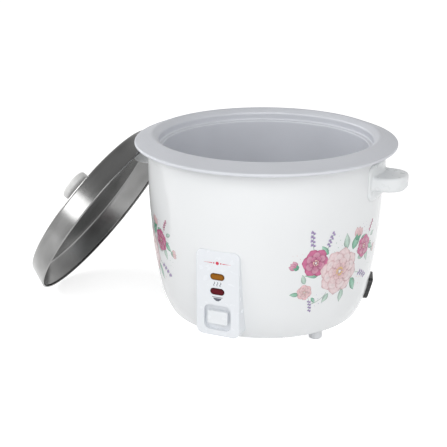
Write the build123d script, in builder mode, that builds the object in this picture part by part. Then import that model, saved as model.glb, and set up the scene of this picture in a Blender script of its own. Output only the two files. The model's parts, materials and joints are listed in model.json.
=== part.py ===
from build123d import *

import os
from math import asin, cos, hypot, radians, sin, sqrt, tan

os.makedirs("parts", exist_ok=True)

# Drum rice cooker, millimetres.  Origin on the drum's axis at the surface it stands on,
# +Z up, front panel towards -Y, handles along +X and -X.

# ---- casing
CASING_RADIUS = 118.8
CASING_WALL = 1.0
CASING_TOP = 187.0
CASING_BOTTOM = 9.7
CASING_TOP_BEND = 3.0
CASING_LIP = 6.4
CASING_FLOOR_LIP = 12.4
SIDE_ARC, SIDE_ARC_END = 620.0, 10.73
HAUNCH_ARC, HAUNCH_ARC_END = 89.0, 29.8
CORNER_ARC = 7.3

# ---- pot
POT_WALL = 1.3
POT_CORNER = 28.0
RIM_RISE = 7.2
LEDGE_WIDTH = 4.1
LEDGE_DEPTH = 12.5
CREST_WIDTH, CREST_FALL = 5.9, 5.5
CREST_BEND, LEDGE_BEND = 4.0, 1.5
BRIM_WIDTH = 16.5
BRIM_DROP = 6.5
BRIM_ROLL = 2.0

# ---- heating plate
PLATE_TOP = 55.0
PLATE_OVERHANG = 0.5
PLATE_CHAMFER = 0.8
PLATE_THICKNESS = 10.0
PLATE_BORE = 18.0
RIB_INSET, RIB_WIDTH, RIB_DEPTH = 24.0, 12.0, 6.5
ELEMENT_RADIUS = 2.6
ELEMENT_OPEN_ANGLE = 22.0
ELEMENT_SINK = 3.2
TERMINAL_RADIUS, TERMINAL_STUB = 2.4, 4.0
TAB_WIDTH, TAB_THICKNESS, TAB_LENGTH = 4.0, 0.8, 8.0
POST_INSET, POST_RADIUS = 10.0, 4.0
TAPPED_DEPTH = 6.0
POST_ANGLES = (60, 180, 300)

# ---- liner
LINER_WALL = 0.8
LINER_FLOOR = 37.0
LINER_KNEE, LINER_KNEE_WIDTH = 76.0, 23.0
LINER_FLANGE_GAP = 0.8
LINER_MOUTH_GAP = 1.1
LINER_TOP_GAP = 1.6
LINER_SIDE_GAP = 2.2
LINER_STEP_TOP, LINER_STEP_BOTTOM = 3.0, 7.0
LINER_BENDS = (1.8, 3.0, 3.0, 14.0, 6.0)

# ---- feet and base cover
COVER_INSET = 0.4
COVER_WALL = 1.0
VENT_RADIUS, VENT_SPACING = 36.0, 14.0
VENT_COUNTS = (12, 16, 20)
VENT_WIDTH, VENT_LENGTH = 2.4, 10.0
FOOT_RADIUS = 6.7
FOOT_INSET = 7.1
FOOT_SCREW_DEPTH, FOOT_SCREW_BITE = 3.0, 1.5
FOOT_ANGLES = (-150, -30, 90)
FOOT_ROUNDING = 2.2

# ---- control panel
PANEL_WIDTH = 45.2
PANEL_BOTTOM, PANEL_TOP = 18.0, 105.0
PANEL_WALL = 2.0
PANEL_PROUD = 0.6
PANEL_CORNER = 7.0
PANEL_EDGE = 1.4
PANEL_START = 60.0
WINDOW_WIDTH, WINDOW_BOTTOM, WINDOW_TOP, WINDOW_CORNER = 31.0, 22.0, 92.0, 3.0
BOSS_RADIUS = 2.7
BOSS_OFFSET = 18.4
BOSS_HEIGHTS = (34.0, 56.0)
WARM_HEIGHT, COOK_HEIGHT = 79.0, 64.0
LENS_LENGTH, LENS_HEIGHT = 14.5, 6.5
LENS_PROUD = 0.5
LENS_ROUNDING = 0.4
LENS_LIP = 1.0
LENS_LIP_THICKNESS = 0.8
LAMP_RADIUS, LAMP_LENGTH = 2.1, 10.5
LAMP_HOLDER_WIDTH, LAMP_HOLDER_WALL, LAMP_HOLDER_LEG = 26.0, 1.0, 1.6
LAMP_HOLDER_MARGIN = 2.0

# ---- switch
KEY_HEIGHT = 37.0
KEY_WIDTH, KEY_TALL, KEY_DEPTH = 21.0, 13.5, 3.4
KEY_PROUD = 0.6
KEY_CORNER, KEY_ROUNDING = 1.5, 0.8
KEY_STEM_WIDTH, KEY_STEM_TALL, KEY_STEM_LENGTH = 12.0, 5.0, 15.0
POCKET_WIDTH, POCKET_TALL, POCKET_DEPTH = 28.0, 25.6, 4.2
POCKET_WALL, POCKET_CORNER, POCKET_STEP = 1.2, 6.0, 0.5
KEY_TRAVEL = 4.8
SLOT_GAP, SLOT_SIDE_GAP = 1.0, 0.6
LEVER_PIVOT_Y, LEVER_PIVOT_Z = -48.0, 26.0
LEVER_WIDTH, LEVER_THICKNESS = 10.0, 1.5
LEVER_LEVEL = 21.3
LEVER_TAIL = 6.0
PIVOT_PIN_RADIUS = 1.5
PIVOT_CLEARANCE = 0.15

LEVER_EAR_LENGTH, LEVER_EAR_TALL, LEVER_EAR_WALL = 12.0, 8.7, 1.2
BRACKET_WALL, BRACKET_SIDE_GAP, BRACKET_REACH = 1.2, 0.6, 11.0

# ---- switch contacts
BLOCK_X, BLOCK_Y = 32.0, -70.0
BLOCK_LENGTH, BLOCK_WIDTH, BLOCK_BOTTOM = 12.0, 12.0, 13.6
LEAF_LEVEL, LEAF_THICKNESS, LEAF_WIDTH, LEAF_LENGTH = 18.5, 0.4, 6.0, 19.0
PUSHER_X, PUSHER_RADIUS, PUSHER_GAP = 9.0, 1.5, 0.5
RIVET_X, RIVET_RADIUS, RIVET_HEIGHT = 14.0, 1.8, 1.0
STRIP_THICKNESS, TERMINAL_REACH = 0.5, 7.0

# ---- magnetic thermostat
CAP_RADIUS = 16.0
CAP_WALL = 1.0
CAP_FLANGE = 4.0
SENSOR_TRAVEL = 3.0
THERMOSTAT_WALL = 0.8
THERMOSTAT_RADIUS = 14.6
THERMOSTAT_FLANGE = 24.0
THERMOSTAT_FLOOR, THERMOSTAT_TOP = 33.0, 48.0
FERRITE_RADIUS, FERRITE_THICKNESS = 10.8, 5.0
MAGNET_RADIUS, MAGNET_THICKNESS, MAGNET_BORE = 10.4, 5.0, 5.4
MAGNET_GAP = 0.4
HOLDER_WALL = 0.8
ROD_RADIUS, ROD_COLLAR, ROD_HEAD = 1.8, 4.2, 3.2
SENSOR_COIL, SENSOR_WIRE, SENSOR_TURNS = 12.6, 0.9, 5
MAGNET_COIL, MAGNET_WIRE, MAGNET_TURNS = 4.4, 0.7, 4

# ---- wiring
WIRE_RADIUS, WIRE_BEND = 0.9, 2.5
WIRE_HOLE_INSET, WIRE_HOLE_Y = 18.0, 8.2
WIRE_TAB_RUN, WIRE_DROP = 12.4, 2.4

# ---- heater safety parts
FUSE_OFFSET, FUSE_RADIUS, FUSE_LENGTH = 2.0, 2.4, 22.0
CLIP_WALL, CLIP_LENGTH, CLIP_TAB = 0.6, 6.0, 7.0
KEEP_WARM_Y, KEEP_WARM_RADIUS, KEEP_WARM_HEIGHT = 40.0, 7.5, 10.0

# ---- side handles
HANDLE_DROP = 28.0
GRIP_REACH = 28.7
GRIP_WIDTH, GRIP_THICKNESS, GRIP_CORNER = 45.0, 14.0, 20.0
GRIP_EDGE = 2.5
BASE_WIDTH, BASE_TALL, BASE_THICKNESS, BASE_CORNER = 50.0, 36.0, 2.2, 8.0
HANDLE_START_DEPTH = 28.8
HANDLE_SCREW_OFFSET, HANDLE_SCREW_LENGTH = 17.0, 13.5

# ---- power inlet
INLET_HEIGHT = 34.0
INLET_TURN = 18.5
INLET_WIDTH, INLET_TALL = 28.5, 22.0
INLET_BODY_WIDTH, INLET_BODY_TALL = 26.4, 17.0
INLET_DEPTH = 11.11
INLET_BODY_CORNER = 0.3
INLET_PROUD, INLET_CORNER, INLET_EDGE = 4.2, 5.0, 1.2
SOCKET_WIDTH, SOCKET_TALL, SOCKET_FLOOR, SOCKET_CORNER = 23.0, 13.0, 2.2, 2.5
PIN_WIDTH, PIN_TALL, PIN_SPACING, PIN_STAGGER = 2.0, 4.0, 7.0, 2.0
PIN_TAIL, PIN_REACH = 5.0, 9.0

# ---- lid
LID_SIDE_GAP = 2.0
LID_WALL = 0.8
LID_SKIRT = 22.8
LID_TAPER = 8.0
LID_RISE = 8.5
LID_BEAD = 0.9
LID_SHOULDER_BEND, LID_CROWN_BEND, LID_CENTRE_BEND = 6.0, 400.0, 40.0
KNOB_RADIUS, KNOB_THICKNESS, KNOB_STEM, KNOB_CENTRE = 17.0, 10.0, 9.5, 47.0
KNOB_STEM_TAPER = 1.5
WASHER_RADIUS, WASHER_THICKNESS, KNOB_SCREW_LENGTH = 5.0, 0.8, 12.0
LID_OVER_GRIP = 7.937
LID_HEADING = 184.3
LID_SIDE = -3.5

# ---- fits and fasteners
SEAT_GAP = 0.15
RUN_GAP = 0.3
SCREW_RADIUS, SCREW_HEAD, SCREW_HEAD_DEPTH = 1.4, 2.9, 1.8
SCREW_END_GAP = 0.5
CROSS_WIDTH, CROSS_LENGTH, CROSS_DEPTH = 0.8, 3.2, 0.9
HOLE_RADIUS = SCREW_RADIUS + SEAT_GAP
CUT = 30.0


# ---- helpers
def offset_points(points, distance):
    """The polyline moved to its left by distance, with mitred corners."""
    normals = []
    for (x0, y0), (x1, y1) in zip(points, points[1:]):
        run = hypot(x1 - x0, y1 - y0)
        normals.append(((y0 - y1) / run, (x1 - x0) / run))
    before = [normals[0]] + normals
    after = normals + [normals[-1]]
    moved = []
    for (x, y), (ax, ay), (bx, by) in zip(points, before, after):
        scale = distance / (1 + ax * bx + ay * by)
        moved.append((x + scale * (ax + bx), y + scale * (ay + by)))
    return moved


def turns_left(before, corner, after):
    cross = (corner[0] - before[0]) * (after[1] - corner[1])
    cross -= (corner[1] - before[1]) * (after[0] - corner[0])
    return cross > 0


def sheet_section(plane, points, radii, thickness):
    """Section of bent sheet: one face runs along the points, the sheet lies to their left."""
    far_radii = []
    for before, corner, after, radius in zip(points, points[1:], points[2:], radii):
        change = -thickness if turns_left(before, corner, after) else thickness
        far_radii.append(max(radius + change, 0) if radius else 0)
    far_points = offset_points(points, thickness)
    with BuildSketch(plane) as section:
        with BuildLine():
            near_side = FilletPolyline(*points, radius=radii)
            far_side = FilletPolyline(*far_points, radius=far_radii)
            Line(near_side @ 0, far_side @ 0)
            Line(near_side @ 1, far_side @ 1)
        make_face()
    return section.sketch


def ring_section(plane, inner, outer, bottom, top):
    """Rectangular section of a ring, to be revolved about the plane's axis."""
    with BuildSketch(plane) as section:
        with BuildLine():
            Polyline((inner, bottom), (outer, bottom), (outer, top), (inner, top), close=True)
        make_face()
    return section.sketch


def add_ring(inner, outer, bottom, top, mode=Mode.ADD, plane=Plane.XZ, axis=Axis.Z, sweep_angle=360):
    """Add or cut a plain ring about the axis of the part being built."""
    revolve(ring_section(plane, inner, outer, bottom, top), axis=axis, revolution_arc=sweep_angle, mode=mode)


def add_rod(plane, radius, length, mode=Mode.ADD):
    """Add or cut a round rod that starts on the plane."""
    with BuildSketch(plane) as disc:
        Circle(radius)
    extrude(disc.sketch, amount=length, mode=mode)


def add_bar(plane, width, height, length, corner=0.0, mode=Mode.ADD):
    """Add or cut a bar of rectangular section that starts on the plane."""
    with BuildSketch(plane) as outline:
        if corner:
            RectangleRounded(width, height, corner)
        else:
            Rectangle(width, height)
    extrude(outline.sketch, amount=length, mode=mode)


def add_screw(plane, length):
    """Pan head against the plane, on the side its normal leaves; shank along the normal."""
    head_plane = plane.offset(-SCREW_HEAD_DEPTH)
    add_rod(head_plane, SCREW_HEAD, SCREW_HEAD_DEPTH)
    add_rod(plane, SCREW_RADIUS, length)
    for width, height in ((CROSS_WIDTH, CROSS_LENGTH), (CROSS_LENGTH, CROSS_WIDTH)):
        add_bar(head_plane, width, height, CROSS_DEPTH, mode=Mode.SUBTRACT)


def polar_plane(radius, angle, height, normal=(0, 0, 1)):
    """Plane on the drum at a radius, an angle and a height."""
    turn = radians(angle)
    return Plane(origin=(radius * cos(turn), radius * sin(turn), height), z_dir=normal)


def radial_plane(angle):
    """Upright plane through the drum's axis: its x runs outwards at the angle, its y upwards."""
    turn = radians(angle)
    return Plane(origin=(0, 0, 0), x_dir=(cos(turn), sin(turn), 0), z_dir=(sin(turn), -cos(turn), 0))


def save(builder, name):
    builder.part.label = name
    export_step(builder.part, f"parts/{name}.step")


# ---- casing outline: three tangent arcs from the straight wall down to the flat floor
corner_z = CASING_BOTTOM + CORNER_ARC
haunch_end = radians(HAUNCH_ARC_END)
side_end = radians(SIDE_ARC_END)
side_r = CASING_RADIUS - SIDE_ARC
haunch_r = side_r + (SIDE_ARC - HAUNCH_ARC) * cos(side_end)
corner_r = haunch_r + (HAUNCH_ARC - CORNER_ARC) * cos(haunch_end)
haunch_z = corner_z + (HAUNCH_ARC - CORNER_ARC) * sin(haunch_end)
side_z = haunch_z + (SIDE_ARC - HAUNCH_ARC) * sin(side_end)

# ---- radii, each from the piece around it
casing_mouth_radius = CASING_RADIUS - CASING_LIP
casing_floor_radius = corner_r - CASING_FLOOR_LIP
cover_radius = corner_r - COVER_INSET
foot_circle_radius = corner_r - FOOT_INSET
liner_flange_radius = CASING_RADIUS - CASING_WALL - LINER_FLANGE_GAP
liner_step = casing_mouth_radius - LINER_MOUTH_GAP - LINER_WALL
ledge_radius = liner_step - LINER_TOP_GAP - POT_WALL
pot_radius = ledge_radius - LEDGE_WIDTH
crest_radius = ledge_radius + CREST_WIDTH
brim_radius = crest_radius + BRIM_WIDTH
liner_radius = pot_radius + POT_WALL + LINER_SIDE_GAP
liner_floor_radius = liner_radius - LINER_KNEE_WIDTH
plate_radius = pot_radius - POT_CORNER + PLATE_OVERHANG
post_circle_radius = plate_radius - POST_INSET
rib_radius = plate_radius - RIB_INSET
wire_hole_x = liner_floor_radius - WIRE_HOLE_INSET
handle_reach = CASING_RADIUS + GRIP_REACH
lid_radius = ledge_radius - LID_SIDE_GAP


def casing_radius_at(height):
    """Outer radius of the casing at a height above the surface it stands on."""
    if height >= side_z:
        return CASING_RADIUS
    if height >= haunch_z - HAUNCH_ARC * sin(side_end):
        return side_r + sqrt(SIDE_ARC**2 - (side_z - height) ** 2)
    if height >= corner_z - CORNER_ARC * sin(haunch_end):
        return haunch_r + sqrt(HAUNCH_ARC**2 - (haunch_z - height) ** 2)
    return corner_r + sqrt(CORNER_ARC**2 - (corner_z - height) ** 2)


def casing_outline(inset):
    """Casing profile moved inwards by inset, from the floor's inner edge to the mouth."""
    top_r = CASING_RADIUS - CASING_TOP_BEND
    top_z = CASING_TOP - CASING_TOP_BEND
    Line((casing_floor_radius, CASING_BOTTOM + inset), (corner_r, CASING_BOTTOM + inset))
    CenterArc((corner_r, corner_z), CORNER_ARC - inset, -90, 90 - HAUNCH_ARC_END)
    CenterArc((haunch_r, haunch_z), HAUNCH_ARC - inset, -HAUNCH_ARC_END, HAUNCH_ARC_END - SIDE_ARC_END)
    CenterArc((side_r, side_z), SIDE_ARC - inset, -SIDE_ARC_END, SIDE_ARC_END)
    Line((CASING_RADIUS - inset, side_z), (CASING_RADIUS - inset, top_z))
    CenterArc((top_r, top_z), CASING_TOP_BEND - inset, 0, 90)
    Line((top_r, CASING_TOP - inset), (casing_mouth_radius, CASING_TOP - inset))


def drum_solid(grow):
    """Filled drum of the casing's outer shape, grown by a clearance, used to trim what seats on it."""
    with BuildPart() as drum:
        with BuildSketch(Plane.XZ):
            with BuildLine():
                casing_outline(-grow)
                Line((casing_mouth_radius, CASING_TOP + grow), (0, CASING_TOP + grow))
                Line((0, CASING_TOP + grow), (0, CASING_BOTTOM - grow))
                Line((0, CASING_BOTTOM - grow), (casing_floor_radius, CASING_BOTTOM - grow))
            make_face()
        revolve(axis=Axis.Z)
    return drum.part


seat_drum = drum_solid(SEAT_GAP)

# ---- planes and places shared by several pieces
panel_face = casing_radius_at(PANEL_TOP) + PANEL_PROUD
panel_back = panel_face - PANEL_WALL
panel_middle = (PANEL_TOP + PANEL_BOTTOM) / 2
front = Plane(origin=(0, -panel_face, 0), x_dir=(1, 0, 0), z_dir=(0, -1, 0))
inlet_back = casing_radius_at(INLET_HEIGHT) - INLET_DEPTH
inlet_section = radial_plane(INLET_TURN)
inlet_out = Axis((0, 0, INLET_HEIGHT), inlet_section.x_dir)
inlet_plane = Plane(
    origin=inlet_out.position + inlet_section.x_dir * inlet_back,
    x_dir=-inlet_section.z_dir,
    z_dir=inlet_section.x_dir,
)
plate_bottom = PLATE_TOP - PLATE_THICKNESS
liner_underside = LINER_FLOOR - LINER_WALL
pot_base = PLATE_TOP
pot_rim_z = CASING_TOP + RIM_RISE
ledge_z = pot_rim_z - LEDGE_DEPTH
cover_bottom = CASING_BOTTOM - COVER_WALL
handle_height = CASING_TOP - HANDLE_DROP
foot_planes = [polar_plane(foot_circle_radius, angle, 0) for angle in FOOT_ANGLES]
post_planes = [polar_plane(post_circle_radius, angle, LINER_FLOOR) for angle in POST_ANGLES]
block_face = BLOCK_X - BLOCK_LENGTH / 2
block_screw_plane = Plane(origin=(BLOCK_X, BLOCK_Y, LINER_FLOOR), z_dir=(0, 0, -1))
bracket_web = liner_underside - BRACKET_WALL
bracket_screw_planes = [
    Plane(origin=(0, LEVER_PIVOT_Y + shift, bracket_web), z_dir=(0, 0, 1))
    for shift in (-BRACKET_REACH, BRACKET_REACH)
]
handle_inner = sqrt((CASING_RADIUS - CASING_WALL) ** 2 - (HANDLE_SCREW_OFFSET + SCREW_HEAD) ** 2)

# ---- outer casing
with BuildPart() as outer_casing:
    with BuildSketch(Plane.XZ):
        with BuildLine():
            casing_outline(0)
            casing_outline(CASING_WALL)
            Line((casing_floor_radius, CASING_BOTTOM), (casing_floor_radius, CASING_BOTTOM + CASING_WALL))
            Line((casing_mouth_radius, CASING_TOP), (casing_mouth_radius, CASING_TOP - CASING_WALL))
        make_face()
    revolve(axis=Axis.Z)
    window_middle = (WINDOW_TOP + WINDOW_BOTTOM) / 2
    window_tall = WINDOW_TOP - WINDOW_BOTTOM
    with BuildSketch(front):
        with Locations((0, window_middle)):
            RectangleRounded(WINDOW_WIDTH, window_tall, WINDOW_CORNER)
    extrude(amount=PANEL_START - panel_face, mode=Mode.SUBTRACT)
    add_bar(
        inlet_plane,
        INLET_BODY_WIDTH + 2 * SEAT_GAP,
        INLET_BODY_TALL + 2 * SEAT_GAP,
        CUT,
        corner=INLET_BODY_CORNER,
        mode=Mode.SUBTRACT,
    )
    for side in (-1, 1):
        for offset in (-HANDLE_SCREW_OFFSET, HANDLE_SCREW_OFFSET):
            hole = Plane(origin=(side * handle_inner, offset, handle_height), z_dir=(side, 0, 0))
            add_rod(hole.offset(-SCREW_HEAD), HOLE_RADIUS, CUT, mode=Mode.SUBTRACT)
        for height in BOSS_HEIGHTS:
            hole = Plane(origin=(side * BOSS_OFFSET, -panel_back, height), z_dir=(0, 1, 0))
            add_rod(hole, HOLE_RADIUS, CUT, mode=Mode.SUBTRACT)
    for plane in foot_planes:
        add_rod(plane, HOLE_RADIUS, CUT, mode=Mode.SUBTRACT)
save(outer_casing, "outer_casing")

# ---- base cover
with BuildPart() as base_cover:
    add_ring(0, cover_radius, cover_bottom, CASING_BOTTOM)
    with BuildSketch(Plane.XY.offset(cover_bottom)):
        for row, count in enumerate(VENT_COUNTS):
            with PolarLocations(VENT_RADIUS + row * VENT_SPACING, count):
                SlotOverall(VENT_LENGTH, VENT_WIDTH, rotation=90)
    extrude(amount=COVER_WALL, mode=Mode.SUBTRACT)
    for plane in foot_planes:
        add_rod(plane, HOLE_RADIUS, CUT, mode=Mode.SUBTRACT)
save(base_cover, "base_cover")

# ---- feet
foot_recess = cover_bottom - FOOT_SCREW_DEPTH
for plane, name in zip(foot_planes, ("foot_front_left", "foot_front_right", "foot_rear")):
    with BuildPart() as foot:
        add_rod(plane, FOOT_RADIUS, cover_bottom)
        fillet(foot.edges().group_by(Axis.Z)[0], FOOT_ROUNDING)
        add_rod(plane, SCREW_HEAD + RUN_GAP, foot_recess, mode=Mode.SUBTRACT)
        add_rod(plane, HOLE_RADIUS, CUT, mode=Mode.SUBTRACT)
    save(foot, name)

with BuildPart() as foot_screws:
    for plane in foot_planes:
        add_screw(plane.offset(foot_recess), CASING_BOTTOM + CASING_WALL + FOOT_SCREW_BITE - foot_recess)
save(foot_screws, "foot_screws")

# ---- inner liner
liner_top = CASING_TOP + LINER_WALL
with BuildPart() as inner_liner:
    liner_profile = [
        (liner_flange_radius, liner_top),
        (liner_step, liner_top),
        (liner_step, ledge_z - LINER_STEP_TOP),
        (liner_radius, ledge_z - LINER_STEP_BOTTOM),
        (liner_radius, LINER_KNEE),
        (liner_floor_radius, LINER_FLOOR),
        (THERMOSTAT_RADIUS + SEAT_GAP, LINER_FLOOR),
    ]
    revolve(sheet_section(Plane.XZ, liner_profile, LINER_BENDS, LINER_WALL), axis=Axis.Z)
    for plane in post_planes + bracket_screw_planes + [block_screw_plane]:
        add_rod(plane.offset(-TAPPED_DEPTH), HOLE_RADIUS, 2 * TAPPED_DEPTH, mode=Mode.SUBTRACT)
    for side in (-1, 1):
        wire_hole = Plane(origin=(wire_hole_x, side * WIRE_HOLE_Y, liner_underside), z_dir=(0, 0, 1))
        add_rod(wire_hole, 2 * WIRE_RADIUS, LINER_WALL, mode=Mode.SUBTRACT)
save(inner_liner, "inner_liner")

# ---- pot
with BuildPart() as inner_pot:
    pot_profile = [
        (brim_radius, pot_rim_z - BRIM_DROP),
        (crest_radius, pot_rim_z),
        (ledge_radius, pot_rim_z - CREST_FALL),
        (ledge_radius, ledge_z),
        (pot_radius, ledge_z),
        (pot_radius, pot_base + POT_WALL),
        (0, pot_base + POT_WALL),
    ]
    pot_bends = (CREST_BEND, CREST_BEND, LEDGE_BEND, LEDGE_BEND, POT_CORNER)
    revolve(sheet_section(Plane.XZ, pot_profile, pot_bends, POT_WALL), axis=Axis.Z)
    with BuildSketch(Plane.XZ):
        with Locations((brim_radius, pot_rim_z - BRIM_DROP - BRIM_ROLL)):
            Circle(BRIM_ROLL)
    revolve(axis=Axis.Z)
save(inner_pot, "inner_pot")

# ---- heating plate with its cast-in element
rib_bottom = plate_bottom - RIB_DEPTH
element_z = plate_bottom - ELEMENT_SINK
element_sweep = 360 - 2 * ELEMENT_OPEN_ANGLE
start_plane = radial_plane(ELEMENT_OPEN_ANGLE)
rib_inner = rib_radius - RIB_WIDTH / 2
rib_outer = rib_radius + RIB_WIDTH / 2


def add_element(radius, mode=Mode.ADD):
    """Round rod bent into an open ring under the plate."""
    with BuildSketch(start_plane) as rod:
        with Locations((rib_radius, element_z)):
            Circle(radius)
    revolve(rod.sketch, axis=Axis.Z, revolution_arc=element_sweep, mode=mode)


fuse_x = -(PLATE_BORE + rib_inner) / 2 - FUSE_OFFSET
clip_outer = FUSE_RADIUS + SEAT_GAP + CLIP_WALL
clip_seat = Plane(origin=(fuse_x + clip_outer + CLIP_TAB / 2, 0, plate_bottom - CLIP_WALL), z_dir=(0, 0, 1))
with BuildPart() as heating_plate:
    add_ring(PLATE_BORE, plate_radius, plate_bottom, PLATE_TOP)
    chamfer(heating_plate.edges().group_by(Axis.Z)[-1], PLATE_CHAMFER)
    add_ring(rib_inner, rib_outer, rib_bottom, plate_bottom, plane=start_plane, sweep_angle=element_sweep)
    add_element(ELEMENT_RADIUS, mode=Mode.SUBTRACT)
    for plane in post_planes:
        add_rod(plane.offset(plate_bottom - LINER_FLOOR), HOLE_RADIUS, TAPPED_DEPTH, mode=Mode.SUBTRACT)
    add_rod(clip_seat, HOLE_RADIUS, CLIP_WALL + TAPPED_DEPTH, mode=Mode.SUBTRACT)
save(heating_plate, "heating_plate")

with BuildPart() as heating_element:
    add_element(ELEMENT_RADIUS)
save(heating_element, "heating_element")

with BuildPart() as heater_terminals:
    for side in (-1, 1):
        turn = radians(side * ELEMENT_OPEN_ANGLE)
        end = Plane(
            origin=(rib_radius * cos(turn), rib_radius * sin(turn), element_z),
            x_dir=(0, 0, 1),
            z_dir=(side * sin(turn), -side * cos(turn), 0),
        )
        add_rod(end, TERMINAL_RADIUS, TERMINAL_STUB)
        add_bar(end.offset(TERMINAL_STUB), TAB_WIDTH, TAB_THICKNESS, TAB_LENGTH)
save(heater_terminals, "heater_terminals")

with BuildPart() as plate_posts:
    for plane in post_planes:
        add_rod(plane, POST_RADIUS, plate_bottom - LINER_FLOOR)
        add_rod(plane, HOLE_RADIUS, plate_bottom - LINER_FLOOR, mode=Mode.SUBTRACT)
save(plate_posts, "plate_posts")

with BuildPart() as plate_screws:
    for plane in post_planes:
        add_screw(plane.offset(-LINER_WALL), plate_bottom - liner_underside + TAPPED_DEPTH - SCREW_END_GAP)
save(plate_screws, "plate_screws")

# ---- magnetic thermostat, from the sensor cap down to the rod
lever_top = LEVER_LEVEL + LEVER_THICKNESS
key_arm = panel_face + LEVER_PIVOT_Y
magnet_travel = KEY_TRAVEL / key_arm * -LEVER_PIVOT_Y
ferrite_top = PLATE_TOP - CAP_WALL
ferrite_bottom = ferrite_top - FERRITE_THICKNESS
magnet_top = ferrite_bottom - MAGNET_GAP - magnet_travel
magnet_bottom = magnet_top - MAGNET_THICKNESS
holder_bottom = magnet_bottom - HOLDER_WALL
cap_flange_top = plate_bottom - SENSOR_TRAVEL - RUN_GAP
collar_bottom = lever_top + PUSHER_GAP

with BuildPart() as sensor_cap:
    add_ring(0, CAP_RADIUS, PLATE_TOP - CAP_WALL, PLATE_TOP)
    chamfer(sensor_cap.edges().group_by(Axis.Z)[-1], 0.5)
    add_ring(CAP_RADIUS - CAP_WALL, CAP_RADIUS, cap_flange_top, PLATE_TOP - CAP_WALL)
    add_ring(CAP_RADIUS - CAP_WALL, CAP_RADIUS + CAP_FLANGE, cap_flange_top - CAP_WALL, cap_flange_top)
save(sensor_cap, "sensor_cap")

with BuildPart() as ferrite_disc:
    add_ring(0, FERRITE_RADIUS, ferrite_bottom, ferrite_top)
save(ferrite_disc, "ferrite_disc")

with BuildPart() as thermostat_housing:
    inner = THERMOSTAT_RADIUS - THERMOSTAT_WALL
    add_ring(ROD_RADIUS + 0.5, THERMOSTAT_RADIUS, THERMOSTAT_FLOOR, THERMOSTAT_FLOOR + THERMOSTAT_WALL)
    add_ring(inner, THERMOSTAT_RADIUS, THERMOSTAT_FLOOR + THERMOSTAT_WALL, THERMOSTAT_TOP)
    add_ring(THERMOSTAT_RADIUS, THERMOSTAT_FLANGE, LINER_FLOOR, LINER_FLOOR + THERMOSTAT_WALL)
save(thermostat_housing, "thermostat_housing")

with BuildPart() as magnet_ring:
    add_ring(MAGNET_BORE, MAGNET_RADIUS, magnet_bottom, magnet_top)
save(magnet_ring, "magnet_ring")

with BuildPart() as magnet_holder:
    outer = MAGNET_RADIUS + HOLDER_WALL
    add_ring(0, outer, holder_bottom, magnet_bottom)
    add_ring(MAGNET_RADIUS, outer, magnet_bottom, magnet_top - 1.0)
    add_ring(0, ROD_RADIUS, LEVER_LEVEL - 5.0, holder_bottom)
    add_ring(0, ROD_COLLAR, collar_bottom, collar_bottom + 1.2)
    add_ring(0, ROD_HEAD, LEVER_LEVEL - 5.0, LEVER_LEVEL - 4.0)
save(magnet_holder, "magnet_holder")


def add_spring(bottom, top, coil_radius, wire, turns):
    """Open compression coil that stands between two flat seats."""
    rise = top - bottom - wire
    with BuildLine() as route:
        Helix(pitch=rise / turns, height=rise, radius=coil_radius, center=(0, 0, bottom + wire / 2))
    with BuildSketch(Plane(origin=route.line @ 0, z_dir=route.line % 0)) as end:
        Circle(wire / 2)
    sweep(end.sketch, path=route.line, is_frenet=True)


with BuildPart() as sensor_spring:
    spring_foot = THERMOSTAT_FLOOR + THERMOSTAT_WALL
    add_spring(spring_foot, ferrite_top, SENSOR_COIL, SENSOR_WIRE, SENSOR_TURNS)
save(sensor_spring, "sensor_spring")

with BuildPart() as magnet_spring:
    add_spring(magnet_bottom, ferrite_bottom, MAGNET_COIL, MAGNET_WIRE, MAGNET_TURNS)
save(magnet_spring, "magnet_spring")

# ---- thermal fuse and its clip under the plate, keep-warm thermostat under the liner
fuse_z = plate_bottom - FUSE_RADIUS - SEAT_GAP
with BuildPart() as thermal_fuse:
    fuse_plane = Plane(origin=(fuse_x, -FUSE_LENGTH / 2, fuse_z), z_dir=(0, 1, 0))
    add_rod(fuse_plane, FUSE_RADIUS, FUSE_LENGTH)
    add_rod(fuse_plane.offset(-5), 0.6, FUSE_LENGTH + 10)
save(thermal_fuse, "thermal_fuse")

with BuildPart() as fuse_clip:
    with BuildSketch(Plane.XZ.offset(-CLIP_LENGTH / 2)):
        with Locations((fuse_x, fuse_z)):
            Circle(clip_outer)
            Rectangle(2 * clip_outer, plate_bottom - fuse_z, align=(Align.CENTER, Align.MIN))
        with Locations((fuse_x, plate_bottom)):
            Rectangle(clip_outer + CLIP_TAB, CLIP_WALL, align=(Align.MIN, Align.MAX))
        with Locations((fuse_x, plate_bottom)):
            Rectangle(2 * clip_outer, 10, align=(Align.CENTER, Align.MIN), mode=Mode.SUBTRACT)
        with Locations((fuse_x, fuse_z)):
            Circle(clip_outer - CLIP_WALL, mode=Mode.SUBTRACT)
            Rectangle(
                2 * (clip_outer - CLIP_WALL), 10, align=(Align.CENTER, Align.MIN), mode=Mode.SUBTRACT
            )
    extrude(amount=CLIP_LENGTH)
    add_rod(clip_seat, HOLE_RADIUS, CLIP_WALL, mode=Mode.SUBTRACT)
save(fuse_clip, "fuse_clip")

with BuildPart() as clip_screw:
    add_screw(clip_seat, CLIP_WALL + TAPPED_DEPTH - SCREW_END_GAP)
save(clip_screw, "clip_screw")

with BuildPart() as keep_warm_thermostat:
    seat = Plane(origin=(0, KEEP_WARM_Y, liner_underside), z_dir=(0, 0, -1))
    add_rod(seat, KEEP_WARM_RADIUS, KEEP_WARM_HEIGHT)
    add_bar(seat.offset(KEEP_WARM_HEIGHT * 0.4), 24, 8, 1.0)
    for side in (-1, 1):
        tab = Plane(origin=(side * 5, KEEP_WARM_Y, liner_underside - KEEP_WARM_HEIGHT), z_dir=(0, 0, -1))
        add_bar(tab, 0.8, 4.0, 6)
save(keep_warm_thermostat, "keep_warm_thermostat")

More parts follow.
